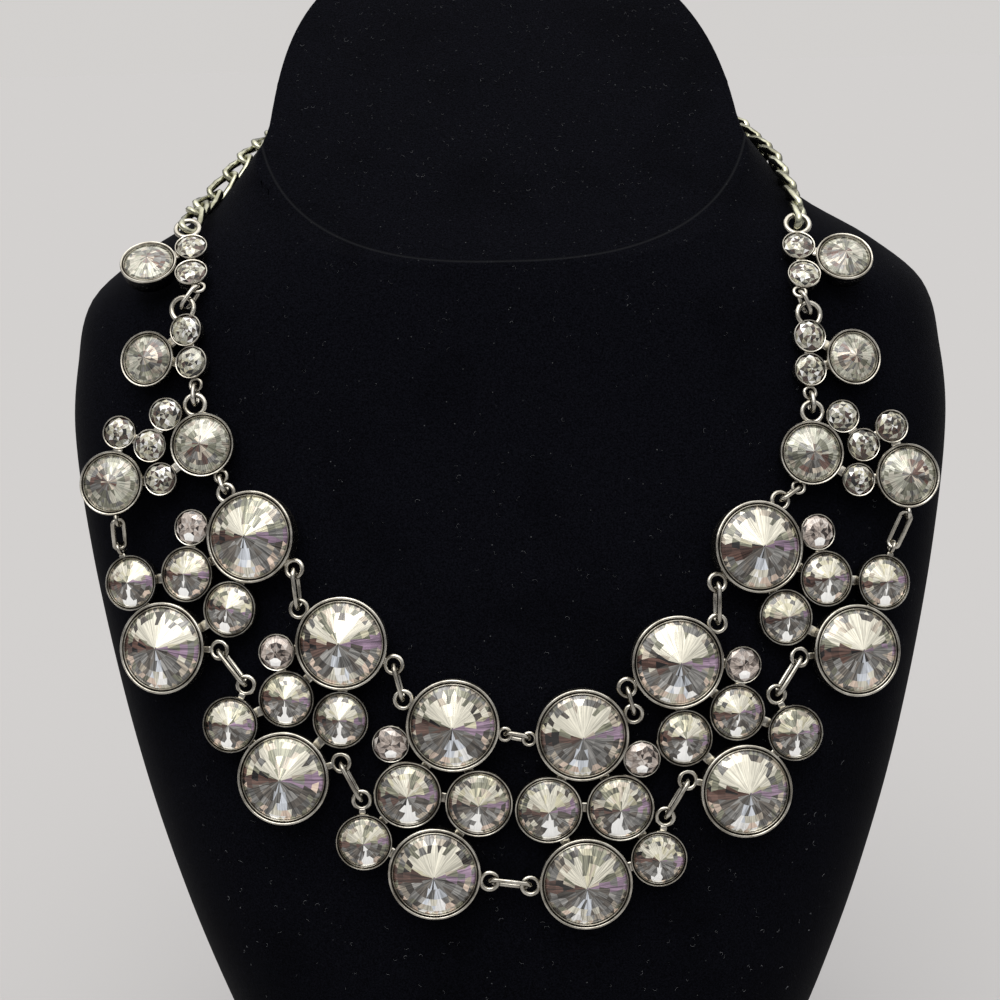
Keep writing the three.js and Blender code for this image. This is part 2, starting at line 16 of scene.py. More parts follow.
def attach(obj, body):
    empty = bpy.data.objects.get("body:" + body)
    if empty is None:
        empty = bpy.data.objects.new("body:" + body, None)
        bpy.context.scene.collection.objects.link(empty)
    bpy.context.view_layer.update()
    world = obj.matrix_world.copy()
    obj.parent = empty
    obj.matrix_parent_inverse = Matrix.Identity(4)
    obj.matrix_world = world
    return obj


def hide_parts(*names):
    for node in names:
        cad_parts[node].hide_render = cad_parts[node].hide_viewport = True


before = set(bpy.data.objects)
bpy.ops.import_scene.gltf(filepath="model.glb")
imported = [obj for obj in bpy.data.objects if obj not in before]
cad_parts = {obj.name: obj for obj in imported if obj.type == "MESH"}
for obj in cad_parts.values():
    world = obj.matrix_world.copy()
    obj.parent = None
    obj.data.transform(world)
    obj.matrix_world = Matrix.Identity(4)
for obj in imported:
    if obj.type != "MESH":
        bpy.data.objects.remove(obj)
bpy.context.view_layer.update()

MM = 0.001
BODY = "root"

# %% [markdown]
# ## Camera
# The photograph looks a little down on the bust from its front, so the neck's slanted oval top
# shows as a full oval. The camera stands 44 cm away, tips down 14 degrees and leans by a degree.

# %% Camera
CAMERA_PLACE = (-3.0, -438.0, 265.6)
CAMERA_DOWN = 14.0
CAMERA_ROLL = 1.4
CAMERA_LENS = 63.0

camera_data = bpy.data.cameras.new("camera")
camera_data.lens = CAMERA_LENS
camera_data.sensor_width = 36.0
camera_data.clip_start = 0.01
camera = bpy.data.objects.new("camera", camera_data)
bpy.context.scene.collection.objects.link(camera)
tip = Matrix.Rotation(math.radians(90 - CAMERA_DOWN), 4, "X")
lean = Matrix.Rotation(math.radians(-CAMERA_ROLL), 4, "Z")
camera.matrix_world = Matrix.Translation(Vector(CAMERA_PLACE) * MM) @ tip @ lean
bpy.context.scene.camera = camera
print("camera at", [round(v, 3) for v in camera.location])

# %% [markdown]
# ## Helpers for modelling
# Most pieces here are round: a circle is extruded up and resized ring by ring, as a potter pulls
# a wall. The helper takes the rings as pairs of radius and height in millimetres. Operators act
# on all that is selected, so each starts by selecting its own piece only.


# %% Modelling helpers
def select_only(*pieces):
    """These pieces are selected and nothing else, and the first is active."""
    for other in bpy.context.selected_objects:
        other.select_set(False)
    for piece in pieces:
        piece.select_set(True)
    bpy.context.view_layer.objects.active = pieces[0] if pieces else None


@contextmanager
def editing(piece):
    """Edit mode on one piece, with all of it selected."""
    select_only(piece)
    bpy.ops.object.mode_set(mode="EDIT")
    bpy.ops.mesh.select_all(action="SELECT")
    yield
    bpy.ops.object.mode_set(mode="OBJECT")


def named(piece, name):
    """The piece, with its mesh named like itself."""
    piece.name = piece.data.name = name
    return piece


def new_piece(name):
    """The primitive that was just added, named, with its place moved into its mesh."""
    piece = named(bpy.context.object, name)
    bpy.ops.object.transform_apply(location=True, rotation=True, scale=True)
    return piece


def ring_stack(name, sides, rings, twists=()):
    """A closed round solid pulled up from a circle through rings of (radius, height).
    A ring whose number is in twists is turned by half a side."""
    select_only()
    radius, height = rings[0]
    bpy.ops.mesh.primitive_circle_add(
        vertices=sides, radius=radius * MM, fill_type="NGON", location=(0, 0, height * MM)
    )
    piece = new_piece(name)
    with editing(piece):
        for number, (next_radius, next_height) in enumerate(rings[1:], 1):
            lift = (0, 0, (next_height - height) * MM)
            middle = (0, 0, next_height * MM)
            bpy.ops.mesh.extrude_region_move(TRANSFORM_OT_translate={"value": lift})
            share = next_radius / radius
            bpy.ops.transform.resize(value=(share, share, 1), center_override=middle)
            if number in twists:
                turn = math.pi / sides
                bpy.ops.transform.rotate(value=turn, orient_axis="Z", center_override=middle)
            radius, height = next_radius, next_height
        bpy.ops.mesh.select_all(action="SELECT")
        bpy.ops.mesh.normals_make_consistent(inside=False)
    return piece


def smooth(piece, degrees):
    """Smooth shading that keeps edges sharper than this angle."""
    select_only(piece)
    bpy.ops.object.shade_smooth_by_angle(angle=math.radians(degrees))


def copy_of(model, matrix, name):
    """A copy of a modelled piece with a mesh of its own, its place put into that mesh."""
    piece = model.copy()
    piece.data = model.data.copy()
    piece.data.transform(matrix)
    bpy.context.scene.collection.objects.link(piece)
    return named(piece, name)


def joined(name, parts):
    """Several parts as one piece."""
    select_only(*parts)
    if len(parts) > 1:
        bpy.ops.object.join()
    return named(bpy.context.view_layer.objects.active, name)


def finish_modifier(piece, kind, **settings):
    """Adds a modifier, sets it and applies it."""
    select_only(piece)
    modifier = piece.modifiers.new(kind.lower(), kind)
    for key, value in settings.items():
        setattr(modifier, key, value)
    bpy.ops.object.modifier_apply(modifier=modifier.name)


# %% [markdown]
# ## Helpers for materials
# Every finish is a Principled shader with a few nodes in front of it. Patterns read Object
# coordinates, which here are metres in the model's frame, so a noise scale of 1000 has grains
# of about a millimetre.


# %% Material helpers
MIX_SOCKETS = (0, 6, 7)


class Nodes:
    """A node tree with short calls for the nodes that the finishes and the room share."""

    def __init__(self, tree):
        self.tree = tree

    def plug(self, sockets, values):
        """Sets each socket to its value, or links it where the value is another node's output."""
        for socket, value in zip(sockets, values):
            if isinstance(value, bpy.types.NodeSocket):
                self.tree.links.new(value, socket)
            else:
                socket.default_value = value

    def node(self, kind, **inputs):
        made = self.tree.nodes.new(kind)
        self.plug([made.inputs[name] for name in inputs], inputs.values())
        return made

    def ramp(self, value, stops):
        """Colours by value: stops are (position, (r, g, b))."""
        made = self.node("ShaderNodeValToRGB", Fac=value)
        points = made.color_ramp.elements
        while len(points) < len(stops):
            points.new(0.5)
        for point, (position, colour) in zip(points, stops):
            point.position = position
            point.color = (*colour, 1)
        return made.outputs["Color"]

    def levels(self, value, low, high, to_low, to_high):
        made = self.node("ShaderNodeMapRange", Value=value)
        names = ("From Min", "From Max", "To Min", "To Max")
        self.plug([made.inputs[name] for name in names], (low, high, to_low, to_high))
        return made.outputs["Result"]

    def blend(self, share, first, second, mode="MIX"):
        made = self.tree.nodes.new("ShaderNodeMix")
        made.data_type = "RGBA"
        made.blend_type = mode
        self.plug([made.inputs[number] for number in MIX_SOCKETS], (share, first, second))
        return made.outputs[2]

    def maths(self, operation, first, second=0.0):
        made = self.tree.nodes.new("ShaderNodeMath")
        made.operation = operation
        self.plug(made.inputs, (first, second))
        return made.outputs[0]


class Finish(Nodes):
    """A material, with its Principled shader and the place that its patterns read."""

    def __init__(self, name):
        self.material = bpy.data.materials.new(name)
        self.material.use_nodes = True
        super().__init__(self.material.node_tree)
        self.shader = self.tree.nodes["Principled BSDF"]
        self.place = self.tree.nodes.new("ShaderNodeTexCoord").outputs["Object"]

    def set(self, **values):
        for name, value in values.items():
            self.shader.inputs[name.replace("_", " ")].default_value = value

    def noise(self, scale, detail=3.0, roughness=0.55):
        made = self.node(
            "ShaderNodeTexNoise", Vector=self.place, Scale=scale, Detail=detail, Roughness=roughness
        )
        return made.outputs["Fac"]

    def attribute(self, name):
        made = self.tree.nodes.new("ShaderNodeAttribute")
        made.attribute_name = name
        return made

    def to(self, socket, value):
        self.tree.links.new(value, self.shader.inputs[socket])

    def bump(self, height, distance, strength=1.0):
        made = self.node("ShaderNodeBump", Height=height, Distance=distance, Strength=strength)
        self.to("Normal", made.outputs["Normal"])


def dress(piece, finish, slot, *nodes):
    """Gives a piece its finish and its body, and hides the nodes that it stands for. The slot is not
    used.
    """
    piece.data.materials.clear()
    piece.data.materials.append(finish.material)
    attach(piece, BODY)
    if nodes:
        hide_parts(*nodes)


# %% [markdown]
# ## Velvet
# Black display velvet is almost without colour: its pile drinks the light and holds on to pale
# lint, most of it on the neck's top. A fine noise gives the pile, and two sets of specks the lint.
# The seam runs round the neck below its top: in front it is where a rounded oval, seen along the
# neck's slant, meets the surface, and behind it lies level with the top. It is pressed in by a bump
# and painted as a faint lighter line, a painted highlight along the seam.

# %% Velvet finish
NECK_FRONT = Vector((0, -30, 229))
NECK_BACK = Vector((0, 47, 298))
SEAM_ACROSS = 60.0
SEAM_ALONG = 62.3
SEAM_POWER = 2.6
SEAM_BEHIND = 17.0
SEAM_HALF = 0.4
TOP_EDGE = 1.5

neck_middle = (NECK_FRONT + NECK_BACK) / 2
slant = (NECK_BACK - NECK_FRONT).normalized()
neck_up = Vector((0, -slant.z, slant.y))

velvet = Finish("black_velvet")
pile = velvet.noise(2600, 2.0, 0.6)
pile_colour = velvet.ramp(pile, [(0.35, (0.001, 0.00105, 0.0018)), (0.75, (0.0043, 0.0046, 0.0073))])
brushed = velvet.levels(velvet.noise(35, 2.0), 0.3, 0.7, 0.75, 1.3)
brushed = velvet.ramp(brushed, [(0, (0, 0, 0)), (1, (1, 1, 1))])
pile_colour = velvet.blend(1.0, pile_colour, brushed, "MULTIPLY")


def distance_along(start, direction):
    """A node value: how far the shaded place lies from start along a direction, in metres."""
    along = velvet.node("ShaderNodeVectorMath", Vector=velvet.place)
    along.operation = "DOT_PRODUCT"
    along.inputs[1].default_value = direction
    return velvet.maths("SUBTRACT", along.outputs["Value"], start.dot(direction) * MM)


def share_of(direction, reach):
    """A node value: the distance from the neck's middle along a direction, as a power of its reach."""
    distance = velvet.maths("ABSOLUTE", distance_along(neck_middle, direction))
    return velvet.maths("POWER", velvet.maths("DIVIDE", distance, reach * MM), SEAM_POWER)


def specks(scale, size, share, strength):
    """A node value: soft dots in this share of the cells."""
    dots = velvet.node("ShaderNodeTexVoronoi", Vector=velvet.place, Scale=scale)
    dot = velvet.levels(dots.outputs["Distance"], size * 0.6, size, 1.0, 0.0)
    chosen = velvet.levels(dots.outputs["Color"], 1 - share, 1.0, 0.0, strength)
    return velvet.maths("MULTIPLY", dot, chosen)


over_top = distance_along(NECK_FRONT, neck_up)
on_top = velvet.levels(over_top, -TOP_EDGE * MM, 0.0, 0.0, 1.0)
thick_lint = velvet.maths("MULTIPLY", specks(620.0, 0.12, 0.6, 0.16), on_top)
lint = velvet.maths("ADD", specks(420.0, 0.07, 0.6, 0.4), thick_lint)
oval = velvet.maths("ADD", share_of(Vector((1, 0, 0)), SEAM_ACROSS), share_of(slant, SEAM_ALONG))
oval = velvet.maths("POWER", oval, 1 / SEAM_POWER)
off_oval = velvet.maths("MULTIPLY", velvet.maths("SUBTRACT", oval, 1.0), SEAM_ACROSS * MM)
off_level = velvet.maths("ADD", over_top, SEAM_BEHIND * MM)
behind = velvet.levels(distance_along(Vector((0, 12, 0)), Vector((0, 1, 0))), 0.0, MM, 0.0, 1.0)
in_front = velvet.maths("SUBTRACT", 1.0, behind)
off_seam = velvet.maths("MULTIPLY", off_level, behind)
off_seam = velvet.maths("ADD", off_seam, velvet.maths("MULTIPLY", off_oval, in_front))
off_seam = velvet.maths("ABSOLUTE", off_seam)
seam = velvet.levels(off_seam, 0.0, SEAM_HALF * MM, 1.0, 0.0)
# The seam is painted lighter than the pile, a painted highlight along its edge; the bump presses it in.
painted_seam_highlight = velvet.maths("MULTIPLY", seam, 0.7)
pile_colour = velvet.blend(painted_seam_highlight, pile_colour, (0.012, 0.0125, 0.014, 1))
velvet.to("Base Color", velvet.blend(lint, pile_colour, (0.2, 0.21, 0.22, 1)))
velvet.set(Roughness=1.0, Specular_IOR_Level=0.02, Sheen_Weight=0.02, Sheen_Roughness=0.35)
velvet.bump(velvet.maths("SUBTRACT", pile, seam), 0.0003, 0.6)
print("velvet nodes:", len(velvet.tree.nodes))

# %% [markdown]
# ## Silver-tone metal
# The castings are white metal with a thin plating that has dulled: a grey with a warm cast,
# darker in the grooves and blotched where it was handled. An attribute named hollow, painted on
# the meshes, tells the finish where a groove lies.

# %% Metal finish
def silver(name, dark, light, dull):
    metal = Finish(name)
    blotches = metal.noise(240, 4.0)
    grain = metal.noise(1500, 3.0, 0.6)
    tone = metal.ramp(blotches, [(0.38, dark), (0.62, light)])
    grooves = metal.attribute("hollow").outputs["Fac"]
    tone = metal.blend(grooves, tone, (0.02, 0.018, 0.016, 1))
    metal.to("Base Color", tone)
    metal.to("Roughness", metal.levels(grain, 0.3, 0.7, dull - 0.08, dull + 0.1))
    metal.set(Metallic=1.0)
    metal.bump(grain, 0.00006, 0.5)
    return metal


plate_metal = silver("aged_silver_tone", (0.29, 0.27, 0.23), (0.60, 0.575, 0.51), 0.19)
chain_metal = silver("chain_silver_tone", (0.24, 0.235, 0.17), (0.52, 0.52, 0.40), 0.18)
print("metals:", plate_metal.material.name, chain_metal.material.name)

# %% [markdown]
# ## Foiled glass
# A rivoli is a glass cone with a mirror foil behind it. The foil throws the light from facet to
# facet, so the upper half shines cream white, the lower half goes brown and grey, and a bright
# fall hangs below the point. Here that light and shade is painted: each facet carries its painted
# light in one attribute and its place round the point in another, named spoke, along which fine
# streaks run. A clear coat gives the flash.

# %% Stone finish
def foiled(name, metallic, dull):
    glass = Finish(name)
    # The facet colours are painted light: painted reflections bright above and painted shade below.
    facet = glass.attribute("facet_painted_light")
    spoke = glass.attribute("spoke").outputs["Vector"]
    streaks = glass.node("ShaderNodeTexNoise", Vector=spoke, Scale=1.0, Detail=3.0).outputs["Fac"]
    contrast = glass.levels(streaks, 0.3, 0.7, -0.85, 1.0)
    strength = glass.maths("MULTIPLY", contrast, facet.outputs["Alpha"])
    share = glass.maths("ADD", strength, 1.0)
    grey = glass.node("ShaderNodeCombineColor", Red=share, Green=share, Blue=share).outputs["Color"]
    glass.to("Base Color", glass.blend(1.0, facet.outputs["Color"], grey, "MULTIPLY"))
    glass.set(Metallic=metallic, Roughness=dull, Coat_Weight=0.6, Coat_Roughness=0.02, Coat_IOR=1.5)
    return glass


pointed_glass = foiled("foiled_glass_pointed", 0.25, 0.14)
small_glass = foiled("foiled_glass_small", 0.25, 0.12)
print("stones:", pointed_glass.material.name, small_glass.material.name)

# %% [markdown]
# ## The bust's shape
# The bust is a stack of rounded oblongs. The rows below say how wide it is, and how far its front
# and back lie, at each height. Between rows the values run smoothly, and every other piece uses
# the same surface to find where it lies.

# %% Bust rows
BUST_KEYS = ("up", "half_width", "front", "middle", "back", "squareness")
BUST_ROWS = [
    (0, 60, -62, -8.5, 45, 3.4),
    (28, 69, -74, -13.5, 47, 3.4),
    (50, 76, -80, -16, 48, 3.4),
    (75, 84, -81, -16, 49, 3.4),
    (102, 91.5, -79, -14.5, 50, 3.4),
    (128, 97.5, -74, -12, 50, 3.4),
    (155, 103, -65, -7.5, 50, 3.4),
    (181, 106.5, -55, -2.5, 50, 3.4),
    (197, 105.5, -49, 0.5, 50, 3.4),
    (212, 101.8, -43, 3, 49, 3.3),
    (222, 90, -38, 3.5, 48, 2.9),
    (232, 73, -33, 3, 47, 2.6),
    (242, 63.5, -30, 0, 47, 2.3),
    (252, 56.8, -30, -4, 47, 2.1),
    (302, 56.4, -30, -4, 47, 2.1),
]
BUST_COLUMNS = dict(zip(BUST_KEYS, zip(*BUST_ROWS)))


def bust_value(key, up):
    """One column of the rows at a height, with the slopes of its neighbours."""
    ups, values = BUST_COLUMNS["up"], BUST_COLUMNS[key]
    last = len(ups) - 1
    i = 0
    while i < last - 1 and ups[i + 1] < up:
        i += 1

    def slope(k):
        a, b = max(k - 1, 0), min(k + 1, last)
        return (values[b] - values[a]) / (ups[b] - ups[a])

    span = ups[i + 1] - ups[i]
    t = min(max((up - ups[i]) / span, 0), 1)
    t2, t3 = t * t, t * t * t
    bent = (t3 - 2 * t2 + t) * span * slope(i) + (t3 - t2) * span * slope(i + 1)
    return (2 * t3 - 3 * t2 + 1) * values[i] + (3 * t2 - 2 * t3) * values[i + 1] + bent


def front_at(across, up):
    """How far back the bust's front lies, in millimetres."""
    middle = bust_value("middle", up)
    power = bust_value("squareness", up)
    share = min(abs(across) / bust_value("half_width", up), 0.999)
    return middle - (middle - bust_value("front", up)) * (1 - share**power) ** (1 / power)


print("front at the chest's middle:", round(front_at(0, 100), 1), "mm")

# %% [markdown]
# ## Modelling the bust
# A circle is pulled up through many levels, and its points are then moved onto the rows' oblongs
# in code, because no operator gives a rounded oblong. The padding makes the left of the neck's
# top a little boxier. The slanted top is a bisect with its hole filled and its edge bevelled.

# %% Model the bust
BUST_SIDES = 128
LEVEL_STEP = 2.0
UNIT = 100.0
NECK_FROM = 238.0
NECK_BLEND = 8.0
NECK_EDGE = 0.6
LEFT_BOXIER = 0.5
RIGHT_BOXIER = 0.15

levels = [LEVEL_STEP * k for k in range(int(BUST_COLUMNS["up"][-1] / LEVEL_STEP) + 1)]
bust = ring_stack("velvet_bust", BUST_SIDES, [(UNIT, level) for level in levels])
for point in bust.data.vertices:
    x, y, up = (value / MM for value in point.co)
    x, y = x / UNIT, y / UNIT
    boxier = (LEFT_BOXIER if x < 0 else RIGHT_BOXIER) * min(max((up - NECK_FROM) / NECK_BLEND, 0), 1)
    power = 2 / (bust_value("squareness", up) + boxier)
    middle = bust_value("middle", up)
    across = math.copysign(abs(x) ** power, x) * bust_value("half_width", up)
    reach = bust_value("front" if y < 0 else "back", up) - middle
    point.co = Vector((across, middle + abs(y) ** power * reach, up)) * MM

with editing(bust):
    bpy.ops.mesh.bisect(plane_co=NECK_FRONT * MM, plane_no=neck_up, use_fill=True, clear_outer=True)
    bpy.ops.mesh.bevel(offset=NECK_EDGE * MM, segments=3, profile=0.6, affect="EDGES")
    bpy.ops.mesh.select_all(action="SELECT")
    bpy.ops.mesh.normals_make_consistent(inside=False)
smooth(bust, 60)
dress(bust, velvet, "velvet", "neck_bust")
print("bust faces:", len(bust.data.polygons))

# %% [markdown]
# ## Where the plates lie
# Each plate touches the bust at one place and is turned a little in its own plane. Its frame has
# X to the right, Y up the chest and Z outward. A setting is known by its outer size, its height,
# its rim of metal and the sides of its mesh. The designs list the settings outward from the
# necklace's middle and down the chest, so one list serves both sides. A place says the side, the
# design, the eyes, the touching point across and up, the turn, and how much the plate leans out.

# %% Designs and places
GAP = 0.3
SETTINGS = {
    "big": (20.5, 5.2, 1.25, 64),
    "large": (14.6, 4.4, 1.1, 56),
    "larger": (13.0, 4.2, 1.05, 56),
    "wide": (15.0, 4.4, 1.0, 56),
    "medium": (12.6, 4.0, 0.9, 48),
    "small": (8.4, 3.4, 0.42, 40),
    "smaller": (7.7, 3.4, 0.42, 40),
}
FOOT_TAPER = 0.7
FOOT_POINTS = 12
STAND_PASSES = 4
DESIGNS = {
    "shoulder": [(0, 0, "smaller"), (1.3, 8.0, "smaller"), (10.3, 3.0, "larger")],
    "second": [(0, 0, "smaller"), (0, 7.7, "smaller"), (10.1, 4.5, "larger")],
    "third": [
        (0, 0, "large"), (8.2, -7.7, "smaller"), (12.2, -0.9, "smaller"),
        (19.1, -4.5, "smaller"), (10.2, 6.8, "smaller"), (21.3, 6.9, "large"),
    ],
    "bib": [
        (0, 0, "big"), (14.8, 2.3, "small"), (12.4, 12.5, "medium"),
        (0.2, 16.8, "medium"), (25.0, 18.4, "medium"), (12.7, 29.8, "big"),
    ],
    "front": [
        (0, 0, "big"), (13.7, 4.4, "small"), (10.0, 15.5, "wide"),
        (-5.6, 17.4, "wide"), (19.7, 26.2, "medium"), (4.2, 33.0, "big"),
    ],
}
JOINTS = {
    "shoulder": [(0, 1), (0, 2)],
    "second": [(0, 1), (0, 2), (1, 2)],
    "third": [(0, 1), (1, 2), (2, 3), (0, 4), (3, 5), (4, 5)],
    "bib": [(0, 1), (0, 2), (0, 3), (1, 2), (2, 4), (3, 5), (4, 5)],
    "front": [(0, 1), (0, 2), (0, 3), (2, 3), (2, 4), (4, 5), (3, 5)],
}
PLACES = {
    "left_1": (-1, "shoulder", "shoulder", -76, 219.2, -14, 0),
    "left_2": (-1, "second", "second", -75, 203, -15.5, 1),
    "left_3": (-1, "third", "third", -80.4, 181.4, -4.7, 0.3),
    "left_4": (-1, "bib", "fourth", -71, 154.5, 14, 1),
    "left_5": (-1, "bib", "fifth", -49, 129.5, 0, 1),
    "left_6": (-1, "front", "front", -21.7, 109.5, 1, 1),
    "right_1": (1, "shoulder", "shoulder", 70.3, 217.3, -6, 0),
    "right_2": (1, "second", "second", 70.3, 199, -6, 1),
    "right_3": (1, "third", "third", 78, 178, 2.2, 0.3),
    "right_4": (1, "bib", "fourth", 67, 150.5, 16.5, 1),
    "right_5": (1, "bib", "fifth", 46, 124.5, 2.5, 1),
    "right_6": (1, "front", "front", 18.6, 106, -7, 1),
}


def resting_frame(across, up, sideways):
    """The plane that rests on the bust there, in millimetres. sideways is the share of the bust's
    own slope towards its side that the plane takes."""
    step = 0.5
    slope_across = front_at(across + step, up) - front_at(across - step, up)
    slope_up = front_at(across, up + step) - front_at(across, up - step)
    normal = Vector((sideways * slope_across, -1, slope_up)).normalized()
    upward = (Vector((0, 0, 1)) - normal * normal.z).normalized()
    right = upward.cross(normal)
    made = Matrix((right, upward, normal)).transposed().to_4x4()
    made.translation = Vector((across, front_at(across, up), up))
    return made


def flat_point(side, out, down):
    return Vector((side * out, -down, 0))


def foot_points(side, settings):
    """Points round the foot of each setting, in the plate's own plane."""
    points = []
    for out, down, kind in settings:
        radius = SETTINGS[kind][0] / 2 - FOOT_TAPER
        for k in range(FOOT_POINTS):
            turn = math.tau * k / FOOT_POINTS
            spoke = Vector((math.cos(turn), math.sin(turn), 0))
            points.append(flat_point(side, out, down) + spoke * radius)
    return points


def plate_frame(name):
    """A plate's frame, standing off the bust just far enough for every foot to clear it."""
    side, design, _, across, up, turn, sideways = PLACES[name]
    settings = DESIGNS[design]
    out = sum(s[0] for s in settings) / len(settings)
    down = sum(s[1] for s in settings) / len(settings)
    turned = Matrix.Rotation(math.radians(side * turn), 4, "Z")
    made = resting_frame(across, up, sideways) @ turned @ Matrix.Translation(-flat_point(side, out, down))
    start, normal, stand_off = made.translation.copy(), made.to_3x3() @ Vector((0, 0, 1)), 0.0
    for _ in range(STAND_PASSES):
        feet = [made @ foot for foot in foot_points(side, settings)]
        depth = max(foot.y - front_at(foot.x, foot.z) for foot in feet)
        stand_off = max(stand_off + depth * abs(normal.y), 0.0)
        made.translation = start + normal * stand_off
    made.translation = start + normal * (stand_off + GAP)
    return made


def in_metres(matrix):
    """The same frame with its place in metres."""
    made = matrix.copy()
    made.translation = matrix.translation * MM
    return made


frames = {name: plate_frame(name) for name in PLACES}
print("plates:", len(frames), "settings:", sum(len(DESIGNS[p[1]]) for p in PLACES.values()))

# %% [markdown]
# ## Settings
# A setting is a cup with a wide outer rim, a thin dark groove, and a bright inner lip pressed
# over the stone. One cup is pulled up for each size and copied to all its places. The points of
# the groove and of the cup's inside get the hollow attribute.

# %% Model the settings
SMALL_KINDS = ("small", "smaller")
CUP_FLOOR = 0.6
WIDE_LIP = [
    (0, 0, 0.5), (0.02, 0, 0.2), (0, 0.16, 0), (0, 0.34, 0), (0, 0.46, 0.14),
    (0, 0.54, 0.55), (0, 0.68, 0.55), (0, 0.74, 0.12), (0, 0.86, 0), (0, 0.97, 0.12),
]
THIN_LIP = [(0, 0, 0.4), (0.05, 0, 0.12), (0, 0.4, 0), (0, 0.8, 0.06)]


def paint_hollow(piece, test):
    """The hollow attribute: 1 where the test holds for a point's radius and height, else 0."""
    values = piece.data.attributes.new("hollow", "FLOAT", "POINT")
    for point, value in zip(piece.data.vertices, values.data):
        radius, height = point.co.xy.length / MM, point.co.z / MM
        value.value = test(radius, height)


def lip_rings(rows, r, height, rim):
    """The rings of a lip. Its rows say how far each lies inward, in millimetres and in shares of
    the rim, and how far below the top."""
    return [(r - inward - share * rim, height - below) for inward, share, below in rows]


def cup(kind):
    size, height, rim, sides = SETTINGS[kind]
    r = size / 2
    small = kind in SMALL_KINDS
    rings = [(r - FOOT_TAPER, 0), (r - FOOT_TAPER + 0.08, 0.25), (r - 0.12, height - 0.75)]
    rings += lip_rings(THIN_LIP if small else WIDE_LIP, r, height, rim)
    rings += [(r - rim, height - 0.5), (r - rim, CUP_FLOOR)]
    piece = ring_stack("cup_" + kind, sides, rings)
    inner, outer = (0, 0) if small else (r - 0.7 * rim, r - 0.52 * rim)
    paint_hollow(piece, lambda radius, up: float(inner < radius < outer or up < 1.0 < radius < r - 1.5))
    smooth(piece, 50)
    return piece


cups = {kind: cup(kind) for kind in SETTINGS}
print("cups:", {kind: len(piece.data.polygons) for kind, piece in cups.items()})

# %% [markdown]
# ## Pointed stones
# A rivoli has a narrow girdle, a low pointed crown and a pointed back. Long facets run from its
# point, and rings turned by half a side make rows of triangles along the girdle once the faces
# are made triangles. Rings further in let a facet change its tone on the way.

# %% Model the pointed stones
STONE_EASE = 0.03
TURNED_RINGS = (3, 4, 5)
RIVOLI_SECTORS = {"big": 40, "large": 32, "larger": 30, "wide": 32, "medium": 28}
RIVOLI_SUNK = 0.45
RIVOLI_BAND = 0.3
CROWN_HEIGHT = 0.36
CROWN_RINGS = [(0.91, 0.16), (0.76, 0.33), (0.58, 0.5), (0.3, 0.77), (0.04, 1.0)]


def stone_room(kind, sunk):
    """A stone's radius and the height of its girdle, which lies this far below the setting's top."""
    size, height, rim, _ = SETTINGS[kind]
    return size / 2 - rim - STONE_EASE, height - sunk


def cut_stone(name, sides, rings):
    """A round solid with a few turned rings, and with triangles for its facets."""
    piece = ring_stack(name, sides, rings, twists=TURNED_RINGS)
    with editing(piece):
        bpy.ops.mesh.quads_convert_to_tris(quad_method="SHORTEST_DIAGONAL")
    return piece


def rivoli(kind):
    radius, girdle = stone_room(kind, RIVOLI_SUNK)
    crown, low = radius * CROWN_HEIGHT, girdle - RIVOLI_BAND
    rings = [(radius * 0.1, low - radius * 0.3), (radius, low), (radius, girdle)]
    rings += [(radius * share, girdle + crown * up) for share, up in CROWN_RINGS]
    return cut_stone("rivoli_" + kind, RIVOLI_SECTORS[kind], rings)


rivolis = {kind: rivoli(kind) for kind in RIVOLI_SECTORS}
print("pointed stones:", {kind: len(piece.data.polygons) for kind, piece in rivolis.items()})

# %% [markdown]
# ## Small stones
# A chaton has a flat table with bands of facets round it. Through the table the facets of its
# back show as a mosaic of reflections, which is painted on the facets that the turned rings inside
# the table give.

# %% Model the small stones
CHATON_SIDES = 10
CHATON_SUNK = 0.3
CHATON_RINGS = [(0.84, 0.38), (0.6, 0.8), (0.34, 0.9), (0.08, 0.95)]


def chaton(kind):
    radius, girdle = stone_room(kind, CHATON_SUNK)
    rings = [(radius * 0.2, girdle - 1.2), (radius, girdle - 0.2), (radius, girdle)]
    rings += [(radius * share, girdle + up) for share, up in CHATON_RINGS]
    return cut_stone("chaton_" + kind, CHATON_SIDES, rings)


chatons = {kind: chaton(kind) for kind in SMALL_KINDS}
print("small stones:", {kind: len(piece.data.polygons) for kind, piece in chatons.items()})

# %% [markdown]
# ## The painted light of each facet
# Each facet's colour is painted light: the foil's reflections, bright above and shaded below. The
# tone depends on where a facet lies round the stone: its angle from straight up, clockwise, in
# degrees, and its reach from 0 at the point to 1 at the girdle. Each stone has its own painted
# light: the tilt of the line between its bright and its dark half, perhaps an olive window in the
# bright half, and the direction and width of the bright fall below the point. All draws are seeded.

# %% Painted facet light
CREAM = (0.62, 0.595, 0.50)
STRAW = (0.54, 0.51, 0.37)
WHITE = (1.0, 1.0, 0.98)
BEIGE = (0.42, 0.37, 0.30)
PEACH = (0.68, 0.54, 0.44)
STEEL = (0.155, 0.152, 0.145)
OLIVE = (0.19, 0.19, 0.14)
SMOKE = (0.075, 0.066, 0.057)
BROWN = (0.085, 0.048, 0.038)
DARK = (0.012, 0.011, 0.011)
VIOLET = (0.25, 0.175, 0.245)
BLUSH = (0.62, 0.53, 0.47)
PALE = (0.54, 0.54, 0.45)
ICE = (0.64, 0.68, 0.74)
CENTRE = 0.16
GIRDLE_ROW = 0.84
MOSAIC_FROM = 0.9
UPPER_TO = 80
SIDES_TO = 101


def scaled(colour, share):
    return tuple(min(value * share, 1.0) for value in colour)


def pick(low, high, *colours):
    """One of the colours by the draw, made lighter or darker by the draw."""
    return scaled(draw.choice(colours), draw.uniform(low, high))


